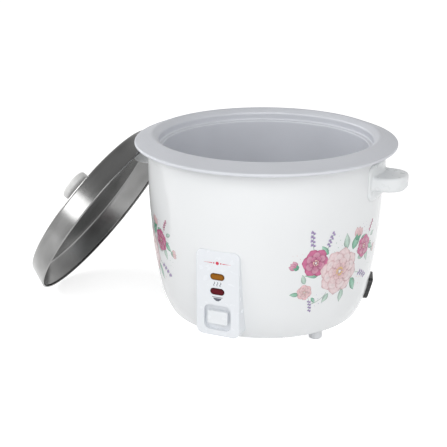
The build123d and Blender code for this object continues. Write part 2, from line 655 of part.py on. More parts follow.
# ---- switch lever with its pusher, pin and bracket
key_back = panel_face + KEY_PROUD - KEY_DEPTH
stem_back = key_back - KEY_STEM_LENGTH
tang_bottom = KEY_HEIGHT - LEVER_THICKNESS / 2
tang_front = key_back - 3.0
pusher_arm = -BLOCK_Y + LEVER_PIVOT_Y
ear_inner = LEVER_WIDTH / 2
ear_outer = ear_inner + LEVER_EAR_WALL
with BuildPart() as switch_lever:
    lever_path = [
        (-tang_front, tang_bottom),
        (-stem_back + 2.0, tang_bottom),
        (-stem_back + 10.0, LEVER_LEVEL),
        (LEVER_TAIL, LEVER_LEVEL),
    ]
    section = sheet_section(Plane.YZ, lever_path, (3, 3), LEVER_THICKNESS)
    extrude(section, amount=LEVER_WIDTH / 2, both=True)
    add_bar(Plane.XY.offset(LEVER_LEVEL), 2 * ROD_RADIUS + 1.0, 2 * LEVER_TAIL, LEVER_THICKNESS,
            mode=Mode.SUBTRACT)
    with BuildSketch(Plane.XY.offset(LEVER_LEVEL)):
        with Locations((ear_inner, BLOCK_Y)):
            Rectangle(PUSHER_X - ear_inner + 2.2, 4.4, align=(Align.MIN, Align.CENTER))
    extrude(amount=LEVER_THICKNESS)
    neck = Plane(origin=(PUSHER_X, BLOCK_Y, LEVER_LEVEL), z_dir=(0, 0, 1))
    add_rod(neck, 0.8, LEVER_THICKNESS, mode=Mode.SUBTRACT)
    for side in (-1, 1):
        ear = Plane(
            origin=(side * ear_inner, LEVER_PIVOT_Y, LEVER_LEVEL + LEVER_EAR_TALL / 2),
            x_dir=(0, 1, 0),
            z_dir=(side, 0, 0),
        )
        add_bar(ear, LEVER_EAR_LENGTH, LEVER_EAR_TALL, LEVER_EAR_WALL)
    pin_start = Plane(origin=(-CUT, LEVER_PIVOT_Y, LEVER_PIVOT_Z), z_dir=(1, 0, 0))
    add_rod(pin_start, PIVOT_PIN_RADIUS + PIVOT_CLEARANCE, 2 * CUT, mode=Mode.SUBTRACT)
save(switch_lever, "switch_lever")

leaf_top = LEAF_LEVEL + LEAF_THICKNESS
with BuildPart() as contact_pusher:
    foot_plane = Plane(origin=(PUSHER_X, BLOCK_Y, leaf_top + PUSHER_GAP), z_dir=(0, 0, 1))
    reach = LEVER_LEVEL - leaf_top - PUSHER_GAP
    add_rod(foot_plane, PUSHER_RADIUS, reach)
    add_rod(foot_plane.offset(reach), 0.8, LEVER_THICKNESS)
    add_rod(foot_plane.offset(reach + LEVER_THICKNESS), 1.4, 0.8)
save(contact_pusher, "contact_pusher")

cheek_inner = ear_outer + BRACKET_SIDE_GAP
with BuildPart() as lever_bracket:
    web = Plane(origin=(0, LEVER_PIVOT_Y, bracket_web), z_dir=(0, 0, 1))
    add_bar(web, 2 * (cheek_inner + BRACKET_WALL), 2 * BRACKET_REACH + 8, BRACKET_WALL)
    cheek_tall = bracket_web - LEVER_PIVOT_Z + 4
    for side in (-1, 1):
        cheek = Plane(
            origin=(side * cheek_inner, LEVER_PIVOT_Y, bracket_web - cheek_tall / 2),
            x_dir=(0, 1, 0),
            z_dir=(side, 0, 0),
        )
        add_bar(cheek, LEVER_EAR_LENGTH, cheek_tall, BRACKET_WALL)
    add_rod(pin_start, PIVOT_PIN_RADIUS, 2 * CUT, mode=Mode.SUBTRACT)
    for plane in bracket_screw_planes:
        add_rod(plane, HOLE_RADIUS, BRACKET_WALL, mode=Mode.SUBTRACT)
save(lever_bracket, "lever_bracket")

with BuildPart() as bracket_screws:
    for plane in bracket_screw_planes:
        add_screw(plane, BRACKET_WALL + LINER_WALL + 1.0)
save(bracket_screws, "bracket_screws")

with BuildPart() as lever_pin:
    pin_half = cheek_inner + BRACKET_WALL + 0.6
    pin_plane = Plane(origin=(-pin_half, LEVER_PIVOT_Y, LEVER_PIVOT_Z), z_dir=(1, 0, 0))
    add_rod(pin_plane, PIVOT_PIN_RADIUS, 2 * pin_half)
    for end in (pin_plane.offset(-0.8), pin_plane.offset(2 * pin_half - 0.6)):
        add_rod(end, PIVOT_PIN_RADIUS + 0.8, 1.4)
save(lever_pin, "lever_pin")

# ---- contacts
rivet_arm = block_face - RIVET_X
pusher_reach = block_face - PUSHER_X
leaf_angle = KEY_TRAVEL / key_arm * pusher_arm / pusher_reach
fixed_rivet_top = LEAF_LEVEL - RIVET_HEIGHT - leaf_angle * rivet_arm - RUN_GAP
strip_top = fixed_rivet_top - RIVET_HEIGHT
strip_bottom = strip_top - STRIP_THICKNESS
terminal_end = BLOCK_X + BLOCK_LENGTH / 2 + TERMINAL_REACH


def add_strip(start, end, bottom, thickness, mode=Mode.ADD):
    """Flat contact strip that runs along X at the block."""
    place = Plane(origin=((start + end) / 2, BLOCK_Y, bottom), z_dir=(0, 0, 1))
    add_bar(place, end - start, LEAF_WIDTH, thickness, mode=mode)


with BuildPart() as contact_block:
    place = Plane(origin=(BLOCK_X, BLOCK_Y, BLOCK_BOTTOM), z_dir=(0, 0, 1))
    add_bar(place, BLOCK_LENGTH, BLOCK_WIDTH, liner_underside - BLOCK_BOTTOM)
    add_strip(block_face, terminal_end, strip_bottom, STRIP_THICKNESS, mode=Mode.SUBTRACT)
    add_strip(block_face, terminal_end, LEAF_LEVEL, LEAF_THICKNESS, mode=Mode.SUBTRACT)
    add_rod(block_screw_plane, HOLE_RADIUS, 9, mode=Mode.SUBTRACT)
save(contact_block, "contact_block")

with BuildPart() as block_screw:
    add_screw(block_screw_plane, 8)
save(block_screw, "block_screw")

with BuildPart() as fixed_contact:
    add_strip(RIVET_X - RIVET_RADIUS - 1.0, terminal_end, strip_bottom, STRIP_THICKNESS)
    add_rod(Plane(origin=(RIVET_X, BLOCK_Y, strip_top), z_dir=(0, 0, 1)), RIVET_RADIUS, RIVET_HEIGHT)
save(fixed_contact, "fixed_contact")

with BuildPart() as leaf_terminal:
    add_strip(block_face, terminal_end, LEAF_LEVEL, LEAF_THICKNESS)
save(leaf_terminal, "leaf_terminal")

with BuildPart() as contact_leaf:
    add_strip(block_face - LEAF_LENGTH, block_face - RUN_GAP, LEAF_LEVEL, LEAF_THICKNESS)
    rivet = Plane(origin=(RIVET_X, BLOCK_Y, LEAF_LEVEL - RIVET_HEIGHT), z_dir=(0, 0, 1))
    add_rod(rivet, RIVET_RADIUS, RIVET_HEIGHT)
save(contact_leaf, "contact_leaf")

# ---- control panel
pocket_floor = panel_face - POCKET_DEPTH
pocket_outer_width = POCKET_WIDTH + 2 * POCKET_WALL
pocket_outer_tall = POCKET_TALL + 2 * POCKET_WALL
lens_places = {"warm_lens": WARM_HEIGHT, "cook_lens": COOK_HEIGHT}
with BuildPart() as control_panel:
    panel_tall = PANEL_TOP - PANEL_BOTTOM
    deep = Plane(origin=(0, -PANEL_START, panel_middle), x_dir=(1, 0, 0), z_dir=(0, -1, 0))
    add_bar(deep, PANEL_WIDTH, panel_tall, panel_face - PANEL_START, corner=PANEL_CORNER)
    fillet(control_panel.faces().sort_by(Axis.Y)[0].edges(), PANEL_EDGE)
    hollow_width = PANEL_WIDTH - 2 * PANEL_WALL
    hollow_tall = panel_tall - 2 * PANEL_WALL
    hollow_corner = PANEL_CORNER - PANEL_WALL
    hollow_depth = panel_back - PANEL_START
    add_bar(deep, hollow_width, hollow_tall, hollow_depth, corner=hollow_corner, mode=Mode.SUBTRACT)
    for side in (-1, 1):
        for height in BOSS_HEIGHTS:
            boss = Plane(origin=(side * BOSS_OFFSET, -PANEL_START, height), z_dir=(0, -1, 0))
            add_rod(boss, BOSS_RADIUS, hollow_depth)
    add(seat_drum, mode=Mode.SUBTRACT)
    for side in (-1, 1):
        for height in BOSS_HEIGHTS:
            boss = Plane(origin=(side * BOSS_OFFSET, -PANEL_START, height), z_dir=(0, -1, 0))
            add_rod(boss, HOLE_RADIUS, hollow_depth, mode=Mode.SUBTRACT)
    pocket = Plane(origin=(0, -pocket_floor + POCKET_WALL, KEY_HEIGHT), x_dir=(1, 0, 0), z_dir=(0, -1, 0))
    pocket_length = POCKET_DEPTH + POCKET_WALL - POCKET_STEP
    pocket_corner = POCKET_CORNER + POCKET_WALL
    add_bar(pocket, pocket_outer_width, pocket_outer_tall, pocket_length, corner=pocket_corner)
    add_bar(
        pocket.offset(POCKET_WALL),
        POCKET_WIDTH,
        POCKET_TALL,
        POCKET_DEPTH,
        corner=POCKET_CORNER,
        mode=Mode.SUBTRACT,
    )
    slot_tall = KEY_STEM_TALL + KEY_TRAVEL + 2 * SLOT_GAP
    slot_width = KEY_STEM_WIDTH + 2 * SLOT_SIDE_GAP
    slot = Plane(
        origin=(0, -PANEL_START, KEY_HEIGHT - KEY_TRAVEL / 2), x_dir=(1, 0, 0), z_dir=(0, -1, 0)
    )
    add_bar(slot, slot_width, slot_tall, pocket_floor - PANEL_START, mode=Mode.SUBTRACT)
    for height in lens_places.values():
        with BuildSketch(front.offset(-PANEL_WALL)):
            with Locations((0, height)):
                SlotOverall(LENS_LENGTH + 2 * SEAT_GAP, LENS_HEIGHT + 2 * SEAT_GAP)
        extrude(amount=PANEL_WALL, mode=Mode.SUBTRACT)
save(control_panel, "control_panel")

with BuildPart() as panel_screws:
    for side in (-1, 1):
        for height in BOSS_HEIGHTS:
            low_radius = casing_radius_at(height - SCREW_HEAD) - CASING_WALL
            seat_y = sqrt(low_radius**2 - (BOSS_OFFSET + SCREW_HEAD) ** 2)
            seat = Plane(origin=(side * BOSS_OFFSET, -seat_y, height), z_dir=(0, -1, 0))
            add_screw(seat, panel_back - seat_y)
save(panel_screws, "panel_screws")

# ---- lenses and lamps
for name, height in lens_places.items():
    with BuildPart() as lens:
        with BuildSketch(front.offset(LENS_PROUD)):
            with Locations((0, height)):
                SlotOverall(LENS_LENGTH, LENS_HEIGHT)
        extrude(amount=-(PANEL_WALL + LENS_PROUD))
        fillet(lens.faces().sort_by(Axis.Y)[0].edges(), LENS_ROUNDING)
        with BuildSketch(front.offset(-PANEL_WALL)):
            with Locations((0, height)):
                SlotOverall(LENS_LENGTH + 2 * LENS_LIP, LENS_HEIGHT + 2 * LENS_LIP)
        extrude(amount=-LENS_LIP_THICKNESS)
    save(lens, name)

lamp_front = panel_back - LENS_LIP_THICKNESS - RUN_GAP
lamp_y = lamp_front - LAMP_RADIUS
holder_front = lamp_y - LAMP_RADIUS
with BuildPart() as neon_lamps:
    for height in lens_places.values():
        lamp = Plane(origin=(-LAMP_LENGTH / 2, -lamp_y, height), z_dir=(1, 0, 0))
        add_rod(lamp, LAMP_RADIUS, LAMP_LENGTH)
save(neon_lamps, "neon_lamps")

with BuildPart() as lamp_holder:
    holder_tall = WARM_HEIGHT - COOK_HEIGHT + 2 * (LAMP_RADIUS + LAMP_HOLDER_MARGIN)
    middle = (WARM_HEIGHT + COOK_HEIGHT) / 2
    holder_back = holder_front - LAMP_HOLDER_WALL
    back = Plane(origin=(0, -holder_back, middle), x_dir=(1, 0, 0), z_dir=(0, -1, 0))
    add_bar(back, LAMP_HOLDER_WIDTH, holder_tall, LAMP_HOLDER_WALL)
    for side in (-1, 1):
        leg_x = side * (LAMP_HOLDER_WIDTH - LAMP_HOLDER_LEG) / 2
        leg = Plane(origin=(leg_x, -holder_back, middle), x_dir=(1, 0, 0), z_dir=(0, -1, 0))
        add_bar(leg, LAMP_HOLDER_LEG, holder_tall, panel_back - holder_back)
save(lamp_holder, "lamp_holder")

# ---- switch key
with BuildPart() as switch_key:
    cap_back = Plane(origin=(0, -key_back, KEY_HEIGHT), x_dir=(1, 0, 0), z_dir=(0, -1, 0))
    add_bar(cap_back, KEY_WIDTH, KEY_TALL, KEY_DEPTH, corner=KEY_CORNER)
    fillet(switch_key.faces().sort_by(Axis.Y)[0].edges(), KEY_ROUNDING)
    add_bar(cap_back.offset(-KEY_STEM_LENGTH), KEY_STEM_WIDTH, KEY_STEM_TALL, KEY_STEM_LENGTH)
    tang_slot = cap_back.offset(-KEY_STEM_LENGTH)
    add_bar(tang_slot, LEVER_WIDTH, LEVER_THICKNESS, tang_front - stem_back, mode=Mode.SUBTRACT)
save(switch_key, "switch_key")

# ---- side handles
grip_start = CASING_RADIUS - HANDLE_START_DEPTH
grip_middle = (grip_start + handle_reach) / 2
with BuildPart() as grip:
    with BuildSketch(Plane.XY.offset(handle_height - GRIP_THICKNESS / 2)):
        with Locations((grip_middle, 0)):
            RectangleRounded(handle_reach - grip_start, GRIP_WIDTH, GRIP_CORNER)
    extrude(amount=GRIP_THICKNESS)
    fillet(grip.faces().filter_by(Axis.Z).edges(), GRIP_EDGE)

with BuildPart() as right_handle:
    place = Plane(origin=(grip_start, 0, handle_height), x_dir=(0, 1, 0), z_dir=(1, 0, 0))
    add_bar(place, BASE_WIDTH, BASE_TALL, handle_reach - grip_start, corner=BASE_CORNER)
    add_ring(0, CASING_RADIUS + BASE_THICKNESS, 0, CASING_TOP, mode=Mode.INTERSECT)
    add(grip.part)
    add(seat_drum, mode=Mode.SUBTRACT)
    for offset in (-HANDLE_SCREW_OFFSET, HANDLE_SCREW_OFFSET):
        hole = Plane(origin=(handle_inner, offset, handle_height), z_dir=(1, 0, 0))
        add_rod(hole, HOLE_RADIUS, HANDLE_SCREW_LENGTH + SCREW_END_GAP, mode=Mode.SUBTRACT)
save(right_handle, "right_handle")

with BuildPart() as left_handle:
    mirror(right_handle.part, about=Plane.YZ)
save(left_handle, "left_handle")

with BuildPart() as handle_screws:
    for side in (-1, 1):
        for offset in (-HANDLE_SCREW_OFFSET, HANDLE_SCREW_OFFSET):
            seat = Plane(origin=(side * handle_inner, offset, handle_height), z_dir=(side, 0, 0))
            add_screw(seat, HANDLE_SCREW_LENGTH)
save(handle_screws, "handle_screws")

# ---- power inlet


def add_inlet_block(width, tall, proud):
    """Block across the inlet's section, whose sloping outer face stands proud of the drum."""
    bottom, top = INLET_HEIGHT - tall / 2, INLET_HEIGHT + tall / 2
    with BuildSketch(inlet_section.offset(-width / 2)) as outline:
        with BuildLine():
            Polyline(
                (inlet_back, bottom),
                (casing_radius_at(bottom) + proud, bottom),
                (casing_radius_at(top) + proud, top),
                (inlet_back, top),
                close=True,
            )
        make_face()
    extrude(outline.sketch, amount=width)


pin_places = ((-PIN_SPACING, -PIN_STAGGER), (PIN_SPACING, -PIN_STAGGER), (0, PIN_STAGGER))
with BuildPart() as power_inlet:
    add_inlet_block(INLET_WIDTH, INLET_TALL, INLET_PROUD)
    fillet(power_inlet.edges().filter_by(inlet_out), INLET_CORNER)
    fillet(power_inlet.faces().sort_by(inlet_out)[-1].edges(), INLET_EDGE)
    add(seat_drum, mode=Mode.SUBTRACT)
    add_inlet_block(INLET_BODY_WIDTH, INLET_BODY_TALL, INLET_PROUD / 2)
    with BuildSketch(inlet_plane.offset(SOCKET_FLOOR)):
        RectangleRounded(SOCKET_WIDTH, SOCKET_TALL, SOCKET_CORNER)
    extrude(amount=CUT, mode=Mode.SUBTRACT)
    with BuildSketch(inlet_plane):
        with Locations(*pin_places):
            Rectangle(PIN_WIDTH, PIN_TALL)
    extrude(amount=SOCKET_FLOOR, mode=Mode.SUBTRACT)
save(power_inlet, "power_inlet")

with BuildPart() as inlet_pins:
    with BuildSketch(inlet_plane.offset(-PIN_TAIL)):
        with Locations(*pin_places):
            Rectangle(PIN_WIDTH, PIN_TALL)
    extrude(amount=PIN_TAIL + SOCKET_FLOOR + PIN_REACH)
save(inlet_pins, "inlet_pins")

# ---- wires from the inlet, through the contacts, to the heater


def behind_inlet(across, distance, height):
    """Place at a distance behind the inlet's back, to one side of its middle."""
    place = inlet_plane.from_local_coords((across, 0, -distance))
    return (place.X, place.Y, height)


pin_low = INLET_HEIGHT - PIN_STAGGER
wire_drop = PIN_TAIL + WIRE_DROP
tab_x = wire_hole_x - WIRE_TAB_RUN
leaf_middle = LEAF_LEVEL + LEAF_THICKNESS / 2
strip_middle = strip_bottom + STRIP_THICKNESS / 2
wire_routes = {
    "neutral_wire": (
        behind_inlet(PIN_SPACING, PIN_TAIL, pin_low),
        behind_inlet(PIN_SPACING, wire_drop, pin_low),
        behind_inlet(PIN_SPACING, wire_drop, liner_underside - 8),
        (wire_hole_x, WIRE_HOLE_Y, liner_underside - 8),
        (wire_hole_x, WIRE_HOLE_Y, element_z),
        (tab_x, WIRE_HOLE_Y, element_z),
    ),
    "live_wire": (
        behind_inlet(-PIN_SPACING, PIN_TAIL, pin_low),
        behind_inlet(-PIN_SPACING, wire_drop, pin_low),
        behind_inlet(-PIN_SPACING - 2, wire_drop, strip_middle),
        (inlet_back - wire_drop - 30, BLOCK_Y + 10, strip_middle + 0.2),
        (terminal_end + 8, BLOCK_Y, strip_middle),
        (terminal_end, BLOCK_Y, strip_middle),
    ),
    "heater_wire": (
        (terminal_end, BLOCK_Y, leaf_middle),
        (terminal_end + 4, BLOCK_Y, leaf_middle),
        (terminal_end + 12, BLOCK_Y + 4, leaf_middle),
        (wire_hole_x, -WIRE_HOLE_Y - 12, leaf_middle + 3),
        (wire_hole_x, -WIRE_HOLE_Y, leaf_middle + 8),
        (wire_hole_x, -WIRE_HOLE_Y, element_z),
        (tab_x, -WIRE_HOLE_Y, element_z),
    ),
}


def bend_radii(route):
    """Bend radius at each corner of a wire: the wanted one, or less where the runs are short."""
    radii = []
    for before, corner, after in zip(route, route[1:], route[2:]):
        run_in = Vector(corner) - Vector(before)
        run_out = Vector(after) - Vector(corner)
        half_turn = radians(run_in.get_angle(run_out)) / 2
        room = 0.45 * min(run_in.length, run_out.length) / tan(half_turn)
        radii.append(min(WIRE_BEND, room))
    return radii


for name, route in wire_routes.items():
    with BuildPart() as wire:
        with BuildLine() as path:
            FilletPolyline(*route, radius=bend_radii(route))
        with BuildSketch(Plane(origin=path.line @ 0, z_dir=path.line % 0)):
            Circle(WIRE_RADIUS)
        sweep(path=path.line)
    save(wire, name)

# ---- lid, leaning on the casing with its hollow over the left handle
lid_top_z = handle_height + GRIP_THICKNESS / 2 + LID_OVER_GRIP
tilt = asin((lid_top_z - RUN_GAP) / (2 * lid_radius))
heading = radians(LID_HEADING)
lid_axis_dir = Vector(sin(tilt) * cos(heading), sin(tilt) * sin(heading), cos(tilt))
up_slope = Vector(-cos(tilt) * cos(heading), -cos(tilt) * sin(heading), sin(tilt))
lid_rest = CASING_RADIUS + BASE_THICKNESS + RUN_GAP
lid_top_x = -sqrt(lid_rest**2 - LID_SIDE**2)
lid_top_point = Vector(lid_top_x, LID_SIDE, lid_top_z)
lid_centre = lid_top_point - up_slope * lid_radius
lid_section = Plane(origin=lid_centre, x_dir=up_slope, z_dir=up_slope.cross(lid_axis_dir))
lid_axis = Axis(lid_centre, lid_axis_dir)
lid_plane = Plane(origin=lid_centre, x_dir=up_slope, z_dir=lid_axis_dir)
lid_edge = lid_radius - LID_BEAD
dome_top = LID_SKIRT + LID_RISE
stem_top = KNOB_CENTRE - KNOB_THICKNESS / 2
with BuildPart() as lid_shell:
    lid_path = [
        (lid_edge - LID_WALL / 2, LID_BEAD),
        (lid_edge - LID_TAPER, LID_SKIRT),
        (lid_edge * 0.5, LID_SKIRT + LID_RISE * 0.8),
        (KNOB_STEM, dome_top),
        (HOLE_RADIUS, dome_top),
    ]
    lid_bends = (LID_CENTRE_BEND, LID_CROWN_BEND, LID_SHOULDER_BEND)
    revolve(sheet_section(lid_section, list(reversed(lid_path)), lid_bends, LID_WALL), axis=lid_axis)
    with BuildSketch(lid_section):
        with Locations((lid_edge, LID_BEAD)):
            Circle(LID_BEAD)
    revolve(axis=lid_axis)
save(lid_shell, "lid_shell")

with BuildPart() as knob_washer:
    washer_bottom = dome_top - WASHER_THICKNESS
    revolve(ring_section(lid_section, HOLE_RADIUS, WASHER_RADIUS, washer_bottom, dome_top), axis=lid_axis)
save(knob_washer, "knob_washer")

with BuildPart() as knob_screw:
    add_screw(lid_plane.offset(washer_bottom), KNOB_SCREW_LENGTH)
save(knob_screw, "knob_screw")

with BuildPart() as lid_knob:
    with BuildSketch(lid_section):
        with BuildLine():
            Polyline(
                (0, dome_top + LID_WALL),
                (KNOB_STEM, dome_top + LID_WALL),
                (KNOB_STEM - KNOB_STEM_TAPER, stem_top),
                (KNOB_RADIUS, stem_top),
                (KNOB_RADIUS, stem_top + KNOB_THICKNESS),
                (0, stem_top + KNOB_THICKNESS),
                close=True,
            )
        make_face()
    revolve(axis=lid_axis)
    add_rod(lid_plane.offset(dome_top), HOLE_RADIUS, KNOB_SCREW_LENGTH, mode=Mode.SUBTRACT)
save(lid_knob, "lid_knob")
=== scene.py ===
"""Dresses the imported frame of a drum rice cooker: drum, print, spun pot, steel lid, mouldings and stage."""

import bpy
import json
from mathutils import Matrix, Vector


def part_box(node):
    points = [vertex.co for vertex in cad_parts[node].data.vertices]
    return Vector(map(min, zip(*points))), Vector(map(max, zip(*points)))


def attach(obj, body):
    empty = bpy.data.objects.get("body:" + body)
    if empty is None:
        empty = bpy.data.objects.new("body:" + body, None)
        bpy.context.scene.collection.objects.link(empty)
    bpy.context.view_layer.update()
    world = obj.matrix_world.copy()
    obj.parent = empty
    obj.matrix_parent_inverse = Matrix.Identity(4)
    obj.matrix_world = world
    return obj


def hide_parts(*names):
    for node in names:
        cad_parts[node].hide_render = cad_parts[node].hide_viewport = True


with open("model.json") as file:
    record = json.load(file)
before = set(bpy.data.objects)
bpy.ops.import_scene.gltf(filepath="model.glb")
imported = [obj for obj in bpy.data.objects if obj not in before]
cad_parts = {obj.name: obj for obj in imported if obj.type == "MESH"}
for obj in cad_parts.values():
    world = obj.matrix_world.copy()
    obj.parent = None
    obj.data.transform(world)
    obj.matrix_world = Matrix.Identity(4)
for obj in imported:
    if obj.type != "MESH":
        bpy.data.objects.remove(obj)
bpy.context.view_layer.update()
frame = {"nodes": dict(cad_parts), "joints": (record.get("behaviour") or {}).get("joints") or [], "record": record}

import json
from math import cos, pi, radians, sin, sqrt

import bpy
import numpy as np
from bpy.props import FloatProperty, FloatVectorProperty, IntProperty, PointerProperty
from mathutils import Vector

bl_info = {
    "name": "Rice Cooker",
    "version": (1, 0, 0),
    "blender": (4, 5, 0),
    "location": "View3D > Sidebar > Rice Cooker",
    "description": "Surfaces and finishes of a drum rice cooker with a lift-out pot and a loose lid",
    "category": "Object",
}

MM = 0.001
UV_NAME = "turning"
TINT_NAME = "tint"
TOUCHING = 1e-9
TURNED_SEGMENTS = 256

# places read from the frame, in metres
casing_low, casing_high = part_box("outer_casing")
pot_low, pot_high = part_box("inner_pot")
lid_low, lid_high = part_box("lid_shell")
panel_low, panel_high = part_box("control_panel")
handle_low, handle_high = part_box("right_handle")
inlet_low, inlet_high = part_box("power_inlet")
CASING_RADIUS = casing_high.x
INLET_OUT = Vector(next(m["axis"] for m in frame["record"]["mounts"] if m["name"] == "inlet_socket"))
LID_AXIS = Vector(next(j["axis"] for j in frame["joints"] if j["name"] == "lid_lift")).normalized()
WARM_LENS, COOK_LENS = ((low.z + high.z) / 2 for low, high in (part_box("warm_lens"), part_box("cook_lens")))
NODE_SLOTS = {part["node"]: part["material_slot"] for part in frame["record"]["subparts"]}

# how far inside the panel's sides and ends the drum's window ends
WINDOW_SIDE_INSET, WINDOW_END_INSET = 7 * MM, 12 * MM
# half width of the drum's hole at the inlet, and how far inside the inlet's ends it ends
INLET_HALF, INLET_END_INSET = 13.4 * MM, 2.2 * MM

# a lens is a slot shape: half its height, and half the straight run between its round ends
LENS_HALF, LENS_RUN = 3.25 * MM, 4.0 * MM
# how far the printed signs stand off the panel's face
MARK_LIFT = 0.02 * MM


# ---- outlines and surfaces
def unit(vector):
    return vector / np.linalg.norm(vector)


def filled_run(start, end, spacing):
    """Points from start up to, but without, end, no further apart than spacing."""
    count = max(1, int(np.ceil(np.linalg.norm(end - start) / spacing)))
    return start + (end - start) * np.linspace(0, 1, count, endpoint=False)[:, None]


def rounded_path(corners, radii, spacing=2.5 * MM, arc_steps=9):
    """Straight runs whose inner corners are rounded.

    At a corner P that turns from direction a to direction b by an angle t, the arc of radius r starts at
    P - a r tan(t/2) and its centre lies r to the side that the path turns to."""
    corners = np.asarray(corners, float)
    points = []
    here = corners[0]
    for corner, after, radius in zip(corners[1:], corners[2:], radii):
        a, b = unit(corner - here), unit(after - corner)
        turn = np.arctan2(a[0] * b[1] - a[1] * b[0], a @ b)
        start = corner - a * radius * np.tan(abs(turn) / 2)
        to_centre = np.sign(turn) * np.array([-a[1], a[0]])
        points.append(filled_run(here, start, spacing))
        if radius:
            centre = start + radius * to_centre
            angles = np.arctan2(-to_centre[1], -to_centre[0]) + turn * np.linspace(0, 1, arc_steps)
            arc = centre + radius * np.column_stack([np.cos(angles), np.sin(angles)])
            points.append(arc[:-1])
            here = arc[-1]
        else:
            here = corner
    points.append(filled_run(here, corners[-1], spacing))
    points.append(corners[-1:])
    return np.concatenate(points)


def offset_corners(corners, distance):
    """The corners moved to the left of their path by distance, each along the mitre of its two runs."""
    corners = np.asarray(corners, float)
    runs = np.diff(corners, axis=0)
    normals = np.column_stack([-runs[:, 1], runs[:, 0]]) / np.linalg.norm(runs, axis=1)[:, None]
    before = np.vstack([normals[:1], normals])
    after = np.vstack([normals, normals[-1:]])
    scale = distance / (1 + np.sum(before * after, axis=1))
    return corners + scale[:, None] * (before + after)


def sheet_outline(corners, radii, thickness, roll, roll_steps=28):
    """Closed section of bent sheet that starts in a rolled edge about the first corner.

    The sheet lies to the left of its path. Its near side leaves the roll's circle along the tangent to the
    second corner: with C the centre, P that corner, L = |P - C| and d = (P - C) / L, the touching point is
    C + roll ((roll/L) d + sqrt(1 - (roll/L)^2) d turned right). The roll goes on round from there until it
    meets the sheet's far side."""
    corners = np.array(corners, float)
    centre = corners[0].copy()
    toward = unit(corners[1] - centre)
    lean = roll / np.linalg.norm(corners[1] - centre)
    corners[0] = centre + roll * (lean * toward + sqrt(1 - lean**2) * np.array([toward[1], -toward[0]]))
    ins, outs = np.diff(corners, axis=0)[:-1], np.diff(corners, axis=0)[1:]
    left_turn = ins[:, 0] * outs[:, 1] - ins[:, 1] * outs[:, 0] > 0
    far_radii = np.where(left_turn, np.array(radii) - thickness, np.array(radii) + thickness)
    near = rounded_path(corners, radii)
    far = rounded_path(offset_corners(corners, thickness), np.where(np.array(radii) > 0, far_radii, 0))
    along = unit(corners[1] - corners[0])
    left = np.array([-along[1], along[0]])
    meet = np.arcsin((roll - thickness) / roll)
    angles = np.linspace(-meet, 1.5 * pi, roll_steps)[:-1]
    circle = centre + roll * (np.cos(angles)[:, None] * along + np.sin(angles)[:, None] * left)
    first = np.argmax((far - corners[0]) @ along > roll * cos(meet))
    return np.concatenate([near, far[first:][::-1], circle])


def signed_area(outline):
    """Area inside a closed outline, positive when it runs anticlockwise: half the sum of r z' - r' z."""
    r, z = outline[:, 0], outline[:, 1]
    return np.sum(r * np.roll(z, -1) - np.roll(r, -1) * z) / 2


def new_piece(name, vertices, faces, corner_uv=None):
    """Mesh object at the origin with smooth faces and, where given, one UV pair per face corner."""
    mesh = bpy.data.meshes.new(name)
    mesh.from_pydata(vertices.tolist(), [], faces)
    mesh.polygons.foreach_set("use_smooth", np.ones(len(faces), bool))
    if corner_uv is not None:
        layer = mesh.uv_layers.new(name=UV_NAME)
        layer.data.foreach_set("uv", corner_uv.astype(np.float32).ravel())
    mesh.update()
    piece = bpy.data.objects.new(name, mesh)
    bpy.context.scene.collection.objects.link(piece)
    return piece


def grid_faces(rows, columns, wrap_columns, wrap_rows=False):
    """Corner indices (row, column) of each quad of a grid, anticlockwise seen from its front."""
    j, i = np.meshgrid(
        np.arange(rows if wrap_rows else rows - 1),
        np.arange(columns if wrap_columns else columns - 1),
        indexing="ij",
    )
    corner_rows = np.stack([j, j, j + 1, j + 1], axis=-1).reshape(-1, 4)
    corner_columns = np.stack([i, i + 1, i + 1, i], axis=-1).reshape(-1, 4)
    return corner_rows, corner_columns


def tube_surface(name, points, wrap_rows=False, keep=None):
    """Grid of rows by columns whose columns close on themselves.

    A row whose points all meet becomes one pole, closed by triangles. keep marks the quads that stay."""
    rows, columns = points.shape[:2]
    corner_rows, corner_columns = grid_faces(rows, columns, True, wrap_rows)
    if keep is not None:
        corner_rows, corner_columns = corner_rows[keep], corner_columns[keep]
    span = np.linalg.norm(np.diff(points[:, 0], axis=0, append=points[:1, 0]), axis=1)
    travelled = np.concatenate([[0], np.cumsum(span)])
    corner_uv = np.stack([corner_columns / columns, travelled[corner_rows] / travelled[-1]], axis=-1)
    pole = np.ptp(points, axis=1).max(axis=1) < TOUCHING
    index = (corner_rows % rows) * columns + np.where(pole[corner_rows % rows], 0, corner_columns % columns)
    faces, uvs = [], []
    for corners, uv in zip(index.tolist(), corner_uv):
        kept = [k for k in range(4) if corners[k] not in corners[:k]]
        if len(kept) > 2:
            faces.append([corners[k] for k in kept])
            uvs.append(uv[kept])
    used = np.unique(np.concatenate([np.array(face) for face in faces]))
    renumber = np.zeros(rows * columns, int)
    renumber[used] = np.arange(len(used))
    faces = [renumber[face].tolist() for face in faces]
    return new_piece(name, points.reshape(-1, 3)[used], faces, np.concatenate(uvs))


def turned(outline, segments, centre=Vector(), axis=Vector((0, 0, 1))):
    """Points of an outline (radius, height) turned about an axis: a row for each of its points.

    A point is centre + height * axis + radius * (cos(angle) * e1 + sin(angle) * e2)."""
    axis = np.array(axis)
    e1 = unit(np.cross((0, 1, 0), axis))
    e2 = np.cross(axis, e1)
    angle = 2 * pi * np.arange(segments) / segments
    spokes = np.cos(angle)[:, None] * e1 + np.sin(angle)[:, None] * e2
    return np.array(centre) + outline[:, 1, None, None] * axis + outline[:, 0, None, None] * spokes[None]


